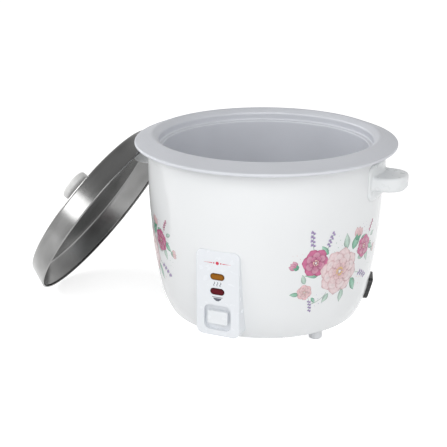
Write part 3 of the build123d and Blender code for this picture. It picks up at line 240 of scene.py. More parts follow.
def lathe(name, outline, segments, centre=Vector(), axis=Vector((0, 0, 1))):
    """Closed shell turned from an outline that is a loop, or that starts and ends on the axis."""
    if signed_area(outline) < 0:
        outline = outline[::-1]
    on_axis = max(outline[0, 0], outline[-1, 0]) < TOUCHING
    return tube_surface(name, turned(outline, segments, centre, axis), wrap_rows=not on_axis)


def rounded_ring(half_width, half_height, corner, steps=6):
    """Rounded rectangle, anticlockwise: four sides joined by quarter circles, steps points to each."""
    way = np.linspace(0, 1, steps, endpoint=False)[:, None]
    inner = np.array([half_width - corner, half_height - corner])
    signs = np.array([(1, -1), (1, 1), (-1, 1), (-1, -1), (1, -1)])
    pieces = []
    for quarter in range(4):
        out = corner * np.array([cos(quarter * pi / 2), sin(quarter * pi / 2)])
        start, end = inner * signs[quarter] + out, inner * signs[quarter + 1] + out
        angle = (quarter + way) * pi / 2
        pieces.append(start + (end - start) * way)
        pieces.append(inner * signs[quarter + 1] + corner * np.hstack([np.cos(angle), np.sin(angle)]))
    return np.concatenate(pieces)


def finish_piece(piece, material, body, slot, *nodes):
    """Gives a piece its material and the body it rides on, and hides the nodes it stands for; slot is not used."""
    piece.data.materials.append(material)
    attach(piece, body)
    if nodes:
        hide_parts(*nodes)
    return piece


# ---- materials
def new_material(name, colour, roughness, metallic=0.0, **sockets):
    """Material whose Principled shader holds these plain values."""
    material = bpy.data.materials.new(name)
    material.use_nodes = True
    inputs = material.node_tree.nodes["Principled BSDF"].inputs
    inputs["Base Color"].default_value = (*colour, 1)
    inputs["Roughness"].default_value = roughness
    inputs["Metallic"].default_value = metallic
    for socket, value in sockets.items():
        inputs[socket.replace("_", " ")].default_value = value
    return material


def add_node(material, kind, inputs=None, **settings):
    """Shader node: settings are its own properties, inputs its sockets' values or links."""
    tree = material.node_tree
    made = tree.nodes.new("ShaderNode" + kind)
    for key, value in settings.items():
        setattr(made, key, value)
    for key, value in (inputs or {}).items():
        if isinstance(value, bpy.types.NodeSocket):
            tree.links.new(value, made.inputs[key])
        else:
            made.inputs[key].default_value = value
    return made


def math_node(material, operation, *values):
    """Result of a Math node on plain numbers or sockets."""
    return add_node(material, "Math", dict(enumerate(values)), operation=operation).outputs[0]


def remap(material, value, low, high, start=0.0, end=1.0):
    """A value's range from start to end, carried over to low to high and held there beyond its ends."""
    values = {"Value": value, "From Min": start, "From Max": end, "To Min": low, "To Max": high}
    return add_node(material, "MapRange", values).outputs["Result"]


def to_shader(material, source, socket):
    material.node_tree.links.new(source, material.node_tree.nodes["Principled BSDF"].inputs[socket])


def scaled_colour(material, colour, gain):
    """Base colour: a plain colour or a socket's, times a gain."""
    scaled = add_node(material, "VectorMath", {0: colour, "Scale": gain}, operation="SCALE")
    to_shader(material, scaled.outputs["Vector"], "Base Color")


def object_place(material, stretch=(1, 1, 1)):
    """Object coordinates, stretched."""
    place = add_node(material, "TexCoord").outputs["Object"]
    return add_node(material, "Mapping", {"Vector": place, "Scale": stretch}).outputs["Vector"]


def turning_place(material, around, along):
    """Coordinates that follow a turned surface without a seam: (around cos u, around sin u, along v)."""
    place = add_node(material, "UVMap", uv_map=UV_NAME).outputs["UV"]
    uv = add_node(material, "SeparateXYZ", {"Vector": place}).outputs
    angle = math_node(material, "MULTIPLY", uv["X"], 2 * pi)
    axes = {"Z": math_node(material, "MULTIPLY", uv["Y"], along)}
    for axis, wave in (("X", "COSINE"), ("Y", "SINE")):
        axes[axis] = math_node(material, "MULTIPLY", math_node(material, wave, angle), around)
    return add_node(material, "CombineXYZ", axes).outputs["Vector"]


def noise(material, place, scale, detail=3.0, roughness=0.5):
    values = {"Vector": place, "Scale": scale, "Detail": detail, "Roughness": roughness}
    return add_node(material, "TexNoise", values).outputs["Fac"]


def spread(material, value, low, high):
    """A noise value's middle range, spread from low to high."""
    return remap(material, value, low, high, start=0.3, end=0.7)


def drift_colour(material, value, colour, amount):
    """Base colour that grows lighter and darker by amount with a noise value."""
    scaled_colour(material, colour, spread(material, value, 1 - amount, 1 + amount))


def drift_roughness(material, value, roughness, least, most):
    """Roughness that wanders between least and most times its middle with a noise value."""
    to_shader(material, spread(material, value, roughness * least, roughness * most), "Roughness")


def add_bump(material, height, strength, distance):
    bump = add_node(material, "Bump", {"Height": height, "Strength": strength, "Distance": distance})
    to_shader(material, bump.outputs["Normal"], "Normal")


def enamel(name, colour, roughness):
    """Fired gloss coat: a faint cloudy tone and the slow ripple of the coat."""
    material = new_material(name, colour, roughness, IOR=1.5)
    place = object_place(material)
    drift_colour(material, noise(material, place, scale=14), colour, amount=0.008)
    drift_roughness(material, noise(material, place, scale=45), roughness, least=0.85, most=1.2)
    add_bump(material, noise(material, place, scale=160, detail=1.0), strength=0.08, distance=0.15 * MM)
    return material


def turned_metal(name, colour, roughness, metallic, anisotropy, lines, around=6.0, amount=0.08, relief=0.12):
    """Metal finished on a lathe: broad clouds of tone, and fine lines round the axis in gloss and relief."""
    material = new_material(name, colour, roughness, metallic, Anisotropic=anisotropy)
    fine_place, broad_place = turning_place(material, around, lines), turning_place(material, 1.5, 8.0)
    fine = noise(material, fine_place, scale=1.0, detail=4.0, roughness=0.65)
    broad = noise(material, broad_place, scale=1.0, detail=2.0)
    drift_colour(material, broad, colour, amount)
    drift_roughness(material, fine, roughness, least=0.8, most=1.25)
    add_bump(material, fine, relief, distance=0.05 * MM)
    tangent = add_node(material, "Tangent", direction_type="UV_MAP", uv_map=UV_NAME)
    to_shader(material, tangent.outputs["Tangent"], "Tangent")
    return material


def rolled_metal(name, colour, roughness, stretch=(60, 60, 900), amount=0.1):
    """Sheet or wire as rolled or drawn: fine streaks along one direction and cloudy dullness."""
    material = new_material(name, colour, roughness, metallic=1.0)
    fine = noise(material, object_place(material, stretch), scale=1.0)
    drift_colour(material, noise(material, object_place(material), scale=60), colour, amount)
    drift_roughness(material, fine, roughness, least=0.75, most=1.3)
    add_bump(material, fine, strength=0.1, distance=0.03 * MM)
    return material


def moulded(name, colour, roughness, grain=3000, relief=0.04, amount=0.012, **sockets):
    """Moulded plastic: even tone with a trace of flow, and a very fine grain."""
    material = new_material(name, colour, roughness, **sockets)
    place = object_place(material)
    drift_colour(material, noise(material, place, scale=30), colour, amount)
    drift_roughness(material, noise(material, place, scale=120), roughness, least=0.85, most=1.15)
    add_bump(material, noise(material, place, grain, detail=2.0), relief, distance=0.02 * MM)
    return material


def fired(name, colour, speck, roughness):
    """Ceramic or sintered body: small specks of a second colour."""
    material = new_material(name, colour, roughness)
    specks = spread(material, noise(material, object_place(material), scale=1500, detail=2.0), 0, 1)
    mix = add_node(material, "Mix", {0: specks, 6: (*colour, 1), 7: (*speck, 1)}, data_type="RGBA")
    to_shader(material, mix.outputs[2], "Base Color")
    add_bump(material, specks, strength=0.1, distance=0.05 * MM)
    return material


def tinted_lens_with_painted_shade(name, colour, roughness, middle_height):
    """Tinted moulding with fine upright ribs, darkened towards the edge of its slot shape by painted shade.

    With x from the middle and z from middle_height, the distance from the slot's middle line is
    sqrt(max(|x| - LENS_RUN, 0)^2 + z^2), and the painted shade darkens the tone as it nears LENS_HALF."""
    material = new_material(name, colour, roughness, IOR=1.45, Specular_IOR_Level=0.12)
    place = object_place(material)
    split = add_node(material, "SeparateXYZ", {"Vector": place}).outputs
    beyond_run = math_node(material, "SUBTRACT", math_node(material, "ABSOLUTE", split["X"]), LENS_RUN)
    across = math_node(material, "MAXIMUM", beyond_run, 0.0)
    height = math_node(material, "SUBTRACT", split["Z"], middle_height)
    from_line = add_node(material, "CombineXYZ", {"X": across, "Y": height}).outputs["Vector"]
    distance = add_node(material, "VectorMath", {0: from_line}, operation="LENGTH").outputs["Value"]
    # painted shade: darker towards the slot's edge, standing in for the shadow of the recess round the lens
    painted_rim_shade = remap(material, distance, 1.15, 0.4, start=0.45 * LENS_HALF, end=LENS_HALF)
    stripes = {"Vector": place, "Scale": 260, "Distortion": 0.3}
    ribs = add_node(material, "TexWave", stripes, bands_direction="X").outputs["Fac"]
    rib_gain = remap(material, ribs, 0.9, 1.1)
    scaled_colour(material, colour, math_node(material, "MULTIPLY", painted_rim_shade, rib_gain))
    add_bump(material, ribs, strength=0.15, distance=0.1 * MM)
    return material


def printed(name, roughness):
    """Transfer print under the gloss coat: its own colours, with the cloudiness of thin ink."""
    material = new_material(name, (0.8, 0.5, 0.5), roughness, IOR=1.5)
    ink = add_node(material, "Attribute", attribute_name=TINT_NAME).outputs["Color"]
    clouds = noise(material, object_place(material), scale=420, detail=4.0)
    scaled_colour(material, ink, spread(material, clouds, 0.9, 1.08))
    return material


# ---- drum outline, as the casing's: three arcs under the straight wall, tangent to one another
SIDE_ARC, SIDE_TURN = 620 * MM, radians(10.73)
HAUNCH_ARC, HAUNCH_TURN = 89 * MM, radians(29.8)
CORNER_ARC = 7.3 * MM
TOP_BEND = 3.0 * MM
FLOOR_HOLE, MOUTH_LIP = 79 * MM, 6.4 * MM
corner_z = casing_low.z + CORNER_ARC
side_r = CASING_RADIUS - SIDE_ARC
haunch_r = side_r + (SIDE_ARC - HAUNCH_ARC) * cos(SIDE_TURN)
corner_r = haunch_r + (HAUNCH_ARC - CORNER_ARC) * cos(HAUNCH_TURN)
haunch_z = corner_z + (HAUNCH_ARC - CORNER_ARC) * sin(HAUNCH_TURN)
side_z = haunch_z + (SIDE_ARC - HAUNCH_ARC) * sin(SIDE_TURN)


def casing_radius(height):
    """Drum radius at each height above the corner: the haunch's arc, then the side's, then straight."""
    height = np.asarray(height, float)
    drop = np.clip(side_z - height, 0, None)
    side = side_r + np.sqrt(SIDE_ARC**2 - drop**2)
    drop = np.clip(haunch_z - height, 0, HAUNCH_ARC)
    haunch = haunch_r + np.sqrt(HAUNCH_ARC**2 - drop**2)
    return np.where(height > haunch_z - HAUNCH_ARC * sin(SIDE_TURN), side, haunch)


def arc_points(centre, radius, start, end, spacing=2 * MM):
    """Points of an arc about a centre, from the angle start to the angle end, both included."""
    count = max(3, int(abs(end - start) * radius / spacing) + 1)
    angle = np.linspace(start, end, count)
    return np.array(centre) + radius * np.column_stack([np.cos(angle), np.sin(angle)])


def casing_outline():
    """Outer face of the drum from the floor's hole, round the corner and haunch, up the wall to the mouth."""
    top, floor = casing_high.z, casing_low.z
    bend = (CASING_RADIUS - TOP_BEND, top - TOP_BEND)
    return np.concatenate([
        filled_run(np.array([FLOOR_HOLE, floor]), np.array([corner_r, floor]), spacing=2.5 * MM),
        arc_points((corner_r, corner_z), CORNER_ARC, -pi / 2, -HAUNCH_TURN, spacing=1 * MM)[:-1],
        arc_points((haunch_r, haunch_z), HAUNCH_ARC, -HAUNCH_TURN, -SIDE_TURN)[:-1],
        arc_points((side_r, side_z), SIDE_ARC, -SIDE_TURN, 0, spacing=3 * MM)[:-1],
        filled_run(np.array([CASING_RADIUS, side_z]), np.array([CASING_RADIUS, bend[1]]), spacing=4 * MM),
        arc_points(bend, TOP_BEND, 0, pi / 2, spacing=0.6 * MM),
        np.array([(CASING_RADIUS - MOUTH_LIP, top)]),
    ])


# ---- property groups
def length(name, description, default):
    """Length in metres, shown in the scene's own unit."""
    return FloatProperty(name=name, description=description, default=default, unit="LENGTH", precision=5)


def colour(name, description, default):
    """Linear red, green and blue."""
    return FloatVectorProperty(
        name=name, description=description, default=default, subtype="COLOR", size=3, min=0, max=1
    )


def share(name, description, default):
    """Number from 0 to 1."""
    return FloatProperty(name=name, description=description, default=default, subtype="FACTOR", min=0, max=1)


class CasingSettings(bpy.types.PropertyGroup):
    wall: length("Wall", "Thickness of the drum's sheet", 1.0 * MM)
    segments: IntProperty(name="Segments", description="Faces round the drum", default=288, min=24)
    enamel_colour: colour("Enamel", "Colour of the fired coat", (0.82, 0.835, 0.845))
    gloss: share("Roughness", "Roughness of the fired coat", 0.16)


class PrintSettings(bpy.types.PropertyGroup):
    middle_height: length("Middle height", "Height of the print's middle above the table", 84 * MM)
    lift: length("Lift", "How far the ink stands off the enamel", 0.03 * MM)
    film: length("Film", "Thickness of the ink film", 0.006 * MM)
    pale: colour("Pale petals", "Main colour of the large blossom", (0.83, 0.43, 0.46))
    bright: colour("Bright petals", "Main colour of the small blossoms", (0.6, 0.06, 0.24))
    green: colour("Leaves", "Main colour of the leaves", (0.13, 0.42, 0.27))
    lilac: colour("Sprigs", "Main colour of the sprigs", (0.36, 0.24, 0.55))


class PotSettings(bpy.types.PropertyGroup):
    wall: length("Wall", "Thickness of the spun sheet", 1.3 * MM)
    roll: length("Edge roll", "Radius of the brim's rolled edge", 2.0 * MM)
    metal: colour("Metal", "Colour of the satin aluminium", (0.66, 0.675, 0.715))
    dullness: share("Roughness", "Roughness of the satin finish", 0.46)


class LidSettings(bpy.types.PropertyGroup):
    wall: length("Wall", "Thickness of the pressed sheet", 0.8 * MM)
    bead: length("Bead", "Radius of the lid's rolled edge", 0.9 * MM)
    metal: colour("Metal", "Colour of the brushed steel", (0.27, 0.27, 0.268))
    dullness: share("Roughness", "Roughness of the brushed steel", 0.17)
    knob_colour: colour("Knob", "Colour of the knob", (0.84, 0.84, 0.83))


class HandleSettings(bpy.types.PropertyGroup):
    edge: length("Edge", "Rounding along the grip's edges", 3.2 * MM)
    flare: length("Flare", "Rounding between the grip and its plate", 2.4 * MM)
    plastic: colour("Plastic", "Colour of the handles", (0.8, 0.82, 0.83))


class PanelSettings(bpy.types.PropertyGroup):
    plastic: colour("Plastic", "Colour of the panel", (0.79, 0.815, 0.85))
    key_plastic: colour("Key", "Colour of the switch key", (0.8, 0.825, 0.85))
    amber: colour("Warm lens", "Colour of the upper lens", (0.27, 0.1, 0.008))
    red: colour("Cook lens", "Colour of the lower lens", (0.1, 0.006, 0.012))
    mark_colour: colour("Marks", "Colour of the printed signs", (0.09, 0.1, 0.13))
    rule_colour: colour("Rule", "Colour of the printed ornament", (0.6, 0.03, 0.07))
    rule_height: length("Rule height", "Height of the printed ornament", 92.7 * MM)
    warm_height: length("Warm height", "Height of the keep-warm sign", 71.6 * MM)
    cook_height: length("Cook height", "Height of the cooking sign", 57.0 * MM)


class StageSettings(bpy.types.PropertyGroup):
    azimuth: FloatProperty(
        name="Azimuth", description="Camera's turn to the right", default=radians(24.5), unit="ROTATION"
    )
    elevation: FloatProperty(
        name="Elevation", description="Camera's height angle", default=radians(18.35), unit="ROTATION"
    )
    distance: length("Distance", "From the camera to the point it looks at", 1.2)
    lens: FloatProperty(name="Lens", description="Focal length in millimetres", default=93.85)
    aim: FloatVectorProperty(
        name="Aim", description="Point the camera looks at", default=(-0.0389, -0.0177, 0.097), subtype="XYZ"
    )
    floor_tone: share("Floor tone", "Lightness of the floor's paint", 0.86)
    floor_lift: share("Floor lift", "How much brighter the floor looks where it is seen directly", 0.65)
    sky: FloatProperty(name="Sky", description="Strength of the even light", default=0.88)


# ---- operators
def in_openings(points):
    """Which faces between the drum's points lie in the window behind the panel or the hole at the inlet."""
    middles = (points[:-1] + points[1:]) / 2
    x, y, z = np.moveaxis((middles + np.roll(middles, -1, axis=1)) / 2, -1, 0)
    half_window = panel_high.x - WINDOW_SIDE_INSET
    in_window = (abs(x) < half_window) & (y < 0)
    in_window &= (z > panel_low.z + WINDOW_END_INSET) & (z < panel_high.z - WINDOW_END_INSET)
    across = y * INLET_OUT.x - x * INLET_OUT.y
    in_hole = (abs(across) < INLET_HALF) & (x > 0)
    in_hole &= (z > inlet_low.z + INLET_END_INSET) & (z < inlet_high.z - INLET_END_INSET)
    return in_window | in_hole


class COOKER_OT_casing(bpy.types.Operator):
    """Enamelled drum, turned from its outline and left open behind the panel and the inlet"""

    bl_idname = "rice_cooker.casing"
    bl_label = "Casing"

    def execute(self, context):
        settings = context.scene.cooker_casing
        points = turned(casing_outline(), settings.segments)
        piece = tube_surface("drum_shell", points, keep=~in_openings(points).ravel())
        sheet = piece.modifiers.new("sheet", "SOLIDIFY")
        sheet.thickness = settings.wall
        sheet.offset = -1
        material = enamel("white_enamel", settings.enamel_colour, settings.gloss)
        finish_piece(piece, material, "housing", "casing_enamel", "outer_casing")
        return {"FINISHED"}


class COOKER_OT_pot(bpy.types.Operator):
    """Spun aluminium pot with its ledge, sloping brim and rolled edge"""

    bl_idname = "rice_cooker.pot"
    bl_label = "Pot"

    def execute(self, context):
        settings = context.scene.cooker_pot
        wall, roll = settings.wall, settings.roll
        rim, floor = pot_high.z, pot_low.z + wall
        brim = pot_high.x - roll
        crest, throat, bore = brim - 16.5 * MM, brim - 22.4 * MM, brim - 26.5 * MM
        brim_z, crest_z = rim - 7.85 * MM, rim + 0.6 * MM
        throat_z, ledge_z = rim - 4.9 * MM, rim - 12.4 * MM
        corners = [
            (brim, brim_z),
            (crest, crest_z),
            (throat, throat_z),
            (throat, ledge_z),
            (bore, ledge_z),
            (bore, floor),
            (0, floor),
        ]
        bends = [4 * MM, 4 * MM, 1.6 * MM, 1.4 * MM, 28 * MM]
        piece = lathe("spun_pot", sheet_outline(corners, bends, wall, roll), TURNED_SEGMENTS)
        material = turned_metal(
            "satin_aluminium", settings.metal, settings.dullness,
            metallic=0.2, anisotropy=0.35, lines=520, amount=0.04,
        )
        finish_piece(piece, material, "pot", "pot_aluminium", "inner_pot")
        return {"FINISHED"}


def knob_outline(base, stem):
    """Outline of the knob: a waisted stem from the height base, under a flat cap with round edges."""
    top, cap_radius = base + 20 * MM, 17 * MM
    cap_base, cap_edge = top - 10 * MM, top - 0.8 * MM
    corners = [
        (0, base),
        (stem, base),
        (stem - 1.5 * MM, cap_base),
        (cap_radius, cap_base),
        (cap_radius, cap_edge),
        (0, top),
    ]
    return rounded_path(corners, [0.8 * MM, 1.2 * MM, 3.4 * MM, 3.6 * MM], spacing=1 * MM)


class COOKER_OT_lid(bpy.types.Operator):
    """Pressed steel lid with a beaded edge, and its moulded knob"""

    bl_idname = "rice_cooker.lid"
    bl_label = "Lid and knob"

    def execute(self, context):
        settings = context.scene.cooker_lid
        wall, bead = settings.wall, settings.bead
        axis = np.array(LID_AXIS)
        edge, centre = self.place_edge(axis, bead)
        skirt, rise, taper = 22.8 * MM, 8.5 * MM, 8.0 * MM
        top, stem, hole = skirt + rise, 9.5 * MM, 1.55 * MM
        inside = [
            (edge, bead),
            (edge - taper, skirt),
            (edge / 2, skirt + 0.8 * rise),
            (stem, top),
            (hole, top),
        ]
        outside = offset_corners(inside, -wall)
        outside[0] = inside[0]
        shoulder_bend, crown_bend, centre_bend = 5 * MM, 400 * MM, 40 * MM
        outline = sheet_outline(outside, [shoulder_bend, crown_bend, centre_bend], wall, bead)
        piece = lathe("lid_dome", outline, TURNED_SEGMENTS, centre, axis)
        material = turned_metal(
            "brushed_steel", settings.metal, settings.dullness,
            metallic=1.0, anisotropy=0.6, lines=900, around=3.0, amount=0.3, relief=0.2,
        )
        finish_piece(piece, material, "lid", "lid_steel", "lid_shell")
        knob = lathe("lid_knob_cap", knob_outline(top + wall, stem), 96, centre, axis)
        knob_material = moulded("knob_white", settings.knob_colour, roughness=0.35)
        finish_piece(knob, knob_material, "lid", "knob_plastic", "lid_knob")
        return {"FINISHED"}

    def place_edge(self, axis, bead):
        """Radius and middle of the lid's edge circle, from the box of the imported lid.

        A bead of radius b along a circle of radius R about the unit axis a reaches R sqrt(1 - a_k^2) + b
        from the circle's middle along each direction k."""
        edge = ((lid_high.y - lid_low.y) / 2 - bead) / sqrt(1 - axis[1] ** 2)
        reach = edge * np.sqrt(1 - axis**2) + bead
        bead_middle = np.array([
            lid_high.x - reach[0],
            (lid_low.y + lid_high.y) / 2,
            lid_low.z + reach[2],
        ])
        return edge, bead_middle - bead * axis


def ring_on_drum(depth, half_y, half_z, corner):
    """Rounded ring on the drum's curve, standing off its face by depth: x = sqrt((R + depth)^2 - y^2)."""
    ring = rounded_ring(half_y, half_z, corner)
    x = np.sqrt((CASING_RADIUS + depth) ** 2 - ring[:, 0] ** 2)
    return np.column_stack([x, ring])


def flat_ring(x, half_y, half_z, corner):
    """Rounded ring square to x, at a distance x from the drum's axis."""
    ring = rounded_ring(half_y, half_z, min(corner, half_z, half_y))
    return np.column_stack([np.full(len(ring), x), ring])


def between(first, last, way):
    """Values that lie a share of the way from the first ones to the last ones."""
    return [a + (b - a) * way for a, b in zip(first, last)]


def handle_rings(edge, flare):
    """Rings of the right handle about height zero, from its plate's back to the grip's rounded end."""
    plate_y, plate_z = handle_high.y, (handle_high.z - handle_low.z) / 2
    reach = handle_high.x
    grip_y, grip_z = 22.5 * MM, 7.0 * MM
    plan_corner, plate_corner = 20 * MM, 8 * MM
    plate, seat, ramp = 2.2 * MM, 0.02 * MM, 3.6 * MM
    root = sqrt((CASING_RADIUS + plate) ** 2 - grip_y**2)

    # the plate's back, its rounded edge and its face
    rings = [ring_on_drum(seat, plate_y * s, plate_z * s, plate_corner * s) for s in (0, 0.4, 0.75, 0.97)]
    for turn in np.linspace(0, pi / 2, 8):
        shrink = ramp * (1 - cos(turn))
        depth = seat + (plate - seat) * sin(turn)
        rings.append(ring_on_drum(depth, plate_y - shrink, plate_z - shrink, plate_corner - shrink))
    face_edge = (plate_y - ramp, plate_z - ramp, plate_corner - ramp)
    flare_edge = (grip_y + 0.4 * flare, grip_z + flare, edge + flare)
    rings += [ring_on_drum(plate, *between(face_edge, flare_edge, way)) for way in (0.25, 0.6)]

    # the flare from the plate into the grip, which ends in a flat ring
    for turn in np.linspace(0, pi / 2, 6):
        out, step = flare * (1 - sin(turn)), flare * (1 - cos(turn))
        rings.append(ring_on_drum(plate + step, grip_y + 0.4 * out, grip_z + out, edge + out))
    straight = flat_ring(root + flare + 1.5 * MM, grip_y, grip_z, edge)
    level = rings[-1].copy()
    level[:, 0] = (level[:, 0] + straight[:, 0]) / 2
    rings += [level, straight]

    # the grip, round in plan at its end
    bend_start = reach - plan_corner
    rings += [flat_ring(x, grip_y, grip_z, edge) for x in np.linspace(root + 8 * MM, bend_start, 5)]
    for turn in np.linspace(0, pi / 2, 16)[1:]:
        x = bend_start + plan_corner * sin(turn)
        thin = max(0, x - (reach - edge))
        half_z = grip_z - edge + sqrt(max(edge**2 - thin**2, 0))
        rings.append(flat_ring(x, grip_y - plan_corner * (1 - cos(turn)), half_z, edge))
    last_y, last_z = grip_y - plan_corner, grip_z - edge
    rings += [flat_ring(reach, last_y * s, last_z * s, edge * s) for s in (0.6, 0.25, 0)]
    return np.stack(rings)


class COOKER_OT_handles(bpy.types.Operator):
    """Moulded side handles: a plate that hugs the drum, flaring into a flat grip"""

    bl_idname = "rice_cooker.handles"
    bl_label = "Handles"

    def execute(self, context):
        settings = context.scene.cooker_handles
        right = handle_rings(settings.edge, settings.flare)
        right[..., 2] += (handle_high.z + handle_low.z) / 2
        left = right[:, ::-1] * (-1, 1, 1)
        material = moulded("handle_white", settings.plastic, roughness=0.3, relief=0.03)
        for name, points, node in (("right_grip", right, "right_handle"), ("left_grip", left, "left_handle")):
            finish_piece(tube_surface(name, points), material, "housing", "handle_plastic", node)
        return {"FINISHED"}


# ---- print: every petal is a small grid of (across u, along v) on the drum's face
PETAL_COLUMNS, PETAL_ROWS = 7, 9
PRINT_TURNS = (63.5, -54.5, 184.5)
BARE_TONE = 0.84
SPIRAL_TURN = 2.4


def shade(tone, gain, whiten=0.0):
    """A colour times a gain, then moved by a share towards the bare enamel's tone."""
    tone = np.asarray(tone, float) * gain
    return tone + (BARE_TONE - tone) * whiten


def petal_tones(tone, inner, outer, edge, whiten=0.0):
    """Inner, outer and edge colours of a petal: gains on one colour, the outer one whitened too."""
    return shade(tone, inner), shade(tone, outer, whiten), shade(tone, edge)


def petals(turns, start, long, half_width, peak, blunt, bend, tones, vein=0.0):
    """Petals round a point, one for each turn: numbers, then the inner, outer and edge colours.

    Columns: s, t, turn, length, half width, peak, bluntness, bend, vein, three colours."""
    turns = np.atleast_1d(np.asarray(turns, float))
    count = len(turns)
    starts = [start * np.sin(turns), start * np.cos(turns), turns]
    sizes = [np.broadcast_to(v, count) for v in (long, half_width, peak, blunt, bend, vein)]
    return np.column_stack(starts + sizes + [np.broadcast_to(tone, (count, 3)) for tone in tones])


def whorls(tone, rings, peak, blunt, bend, vein):
    """Rings of even petals: number, first turn, start, length and half width, then the colours' gains."""
    return [
        petals(
            first + 2 * pi * np.arange(number) / number,
            start, long, wide, peak, blunt, bend, petal_tones(tone, *gains), vein,
        )
        for number, first, start, long, wide, *gains in rings
    ]


def open_blossom(tone):
    """Large blossom: four rings of round petals and a heart of small stamens."""
    rings = [
        (8, 0.0, 0.14, 0.86, 0.36, 0.85, 1, 0.72, 0.72),
        (8, 0.35, 0.12, 0.7, 0.28, 0.8, 1, 0.7, 0.8),
        (7, 0.1, 0.08, 0.52, 0.22, 0.72, 1, 0.62, 0.65),
        (6, 0.4, 0.05, 0.34, 0.16, 0.6, 1, 0.52, 0.45),
    ]
    gold = (0.75, 0.5, 0.16), (0.8, 0.6, 0.25), (0.5, 0.2, 0.1)
    heart = petals(SPIRAL_TURN * np.arange(11), 0.1, 0.1, 0.035, 1.2, 0.6, 0, gold)
    return whorls(tone, rings, 1.5, 0.55, 0.06, 0.08) + [heart]


def star_blossom(tone):
    """Small blossom: three rings of broad petals round a pale eye."""
    rings = [
        (6, 0.2, 0.1, 0.9, 0.44, 0.55, 1.1, 0.5, 0.15),
        (6, 0.7, 0.08, 0.7, 0.3, 0.5, 1.1, 0.48, 0.38),
        (5, 0.3, 0.05, 0.46, 0.2, 0.42, 1.1, 0.42, 0.25),
    ]
    cream = (0.8, 0.55, 0.5), (0.84, 0.7, 0.5), (0.5, 0.1, 0.2)
    eye = petals(SPIRAL_TURN * np.arange(8), 0.12, 0.1, 0.05, 1.1, 0.6, 0, cream)
    return whorls(tone, rings, 1.6, 0.5, 0.1, 0.15) + [eye]


def bud(tone, leaf_tone):
    """Closed bud: three overlapping petals in a green cup."""
    cup = petals((-0.5, 0.5), 0, 0.55, 0.14, 0.9, 1.1, 0.1, petal_tones(leaf_tone, 0.7, 1, 0.5))
    flower_tones = petal_tones(tone, 0.75, 1, 0.6, 0.5)
    flower = petals((-0.35, 0.35, 0.0), 0.12, 0.85, 0.24, 1.3, 0.7, 0, flower_tones, 0.1)
    return [flower, cup]


def leaf(tone):
    """Pointed leaf with a paler middle vein."""
    return [petals(0, 0, 1.0, 0.25, 0.85, 0.95, 0.18, petal_tones(tone, 0.75, 1, 0.55, 0.3), -0.5)]


def sprig(tone, leaf_tone):
    """Curved stem with small three-petalled florets left and right of it: aside = bend v^2."""
    bend = 0.25
    rows = [petals(0, 0, 1.0, 0.012, 0.5, 0.3, bend, petal_tones(leaf_tone, 0.8, 0.8, 0.7))]
    for k, v in enumerate(np.linspace(0.3, 1.0, 8)):
        side = -1 if k % 2 else 1
        turns = side * np.array([0.4, 0.9, 1.4])
        floret = petals(turns, 0.015, 0.14, 0.035, 1.2, 0.6, 0, petal_tones(tone, 0.6, 1, 0.5, 0.3))
        floret[:, :2] += (bend * v**2, v)
        rows.append(floret)
    return rows


def specks(tone, count=9):
    """Loose cloud of small drops, thinner away from its middle, each a spiral's turn on from the last."""
    turns = SPIRAL_TURN * np.arange(count)
    share_out = np.arange(count) / count
    reach = 0.15 + 0.85 * np.sqrt(share_out)
    long = 0.16 - 0.08 * share_out
    tones = shade(tone, 0.9, 0.2), shade(tone, 1, 0.5), shade(tone, 0.8, 0.2)
    drops = petals(turns, 0, long, 0.4 * long, 1.0, 0.6, 0, tones)
    drops[:, 0] += reach * np.sin(turns)
    drops[:, 1] += reach * np.cos(turns)
    return [drops]


def tendril(tone):
    """Fine curling line."""
    return [petals(0, 0, 1.0, 0.014, 0.6, 0.4, 0.6, petal_tones(tone, 0.6, 0.8, 0.6, 0.2))]


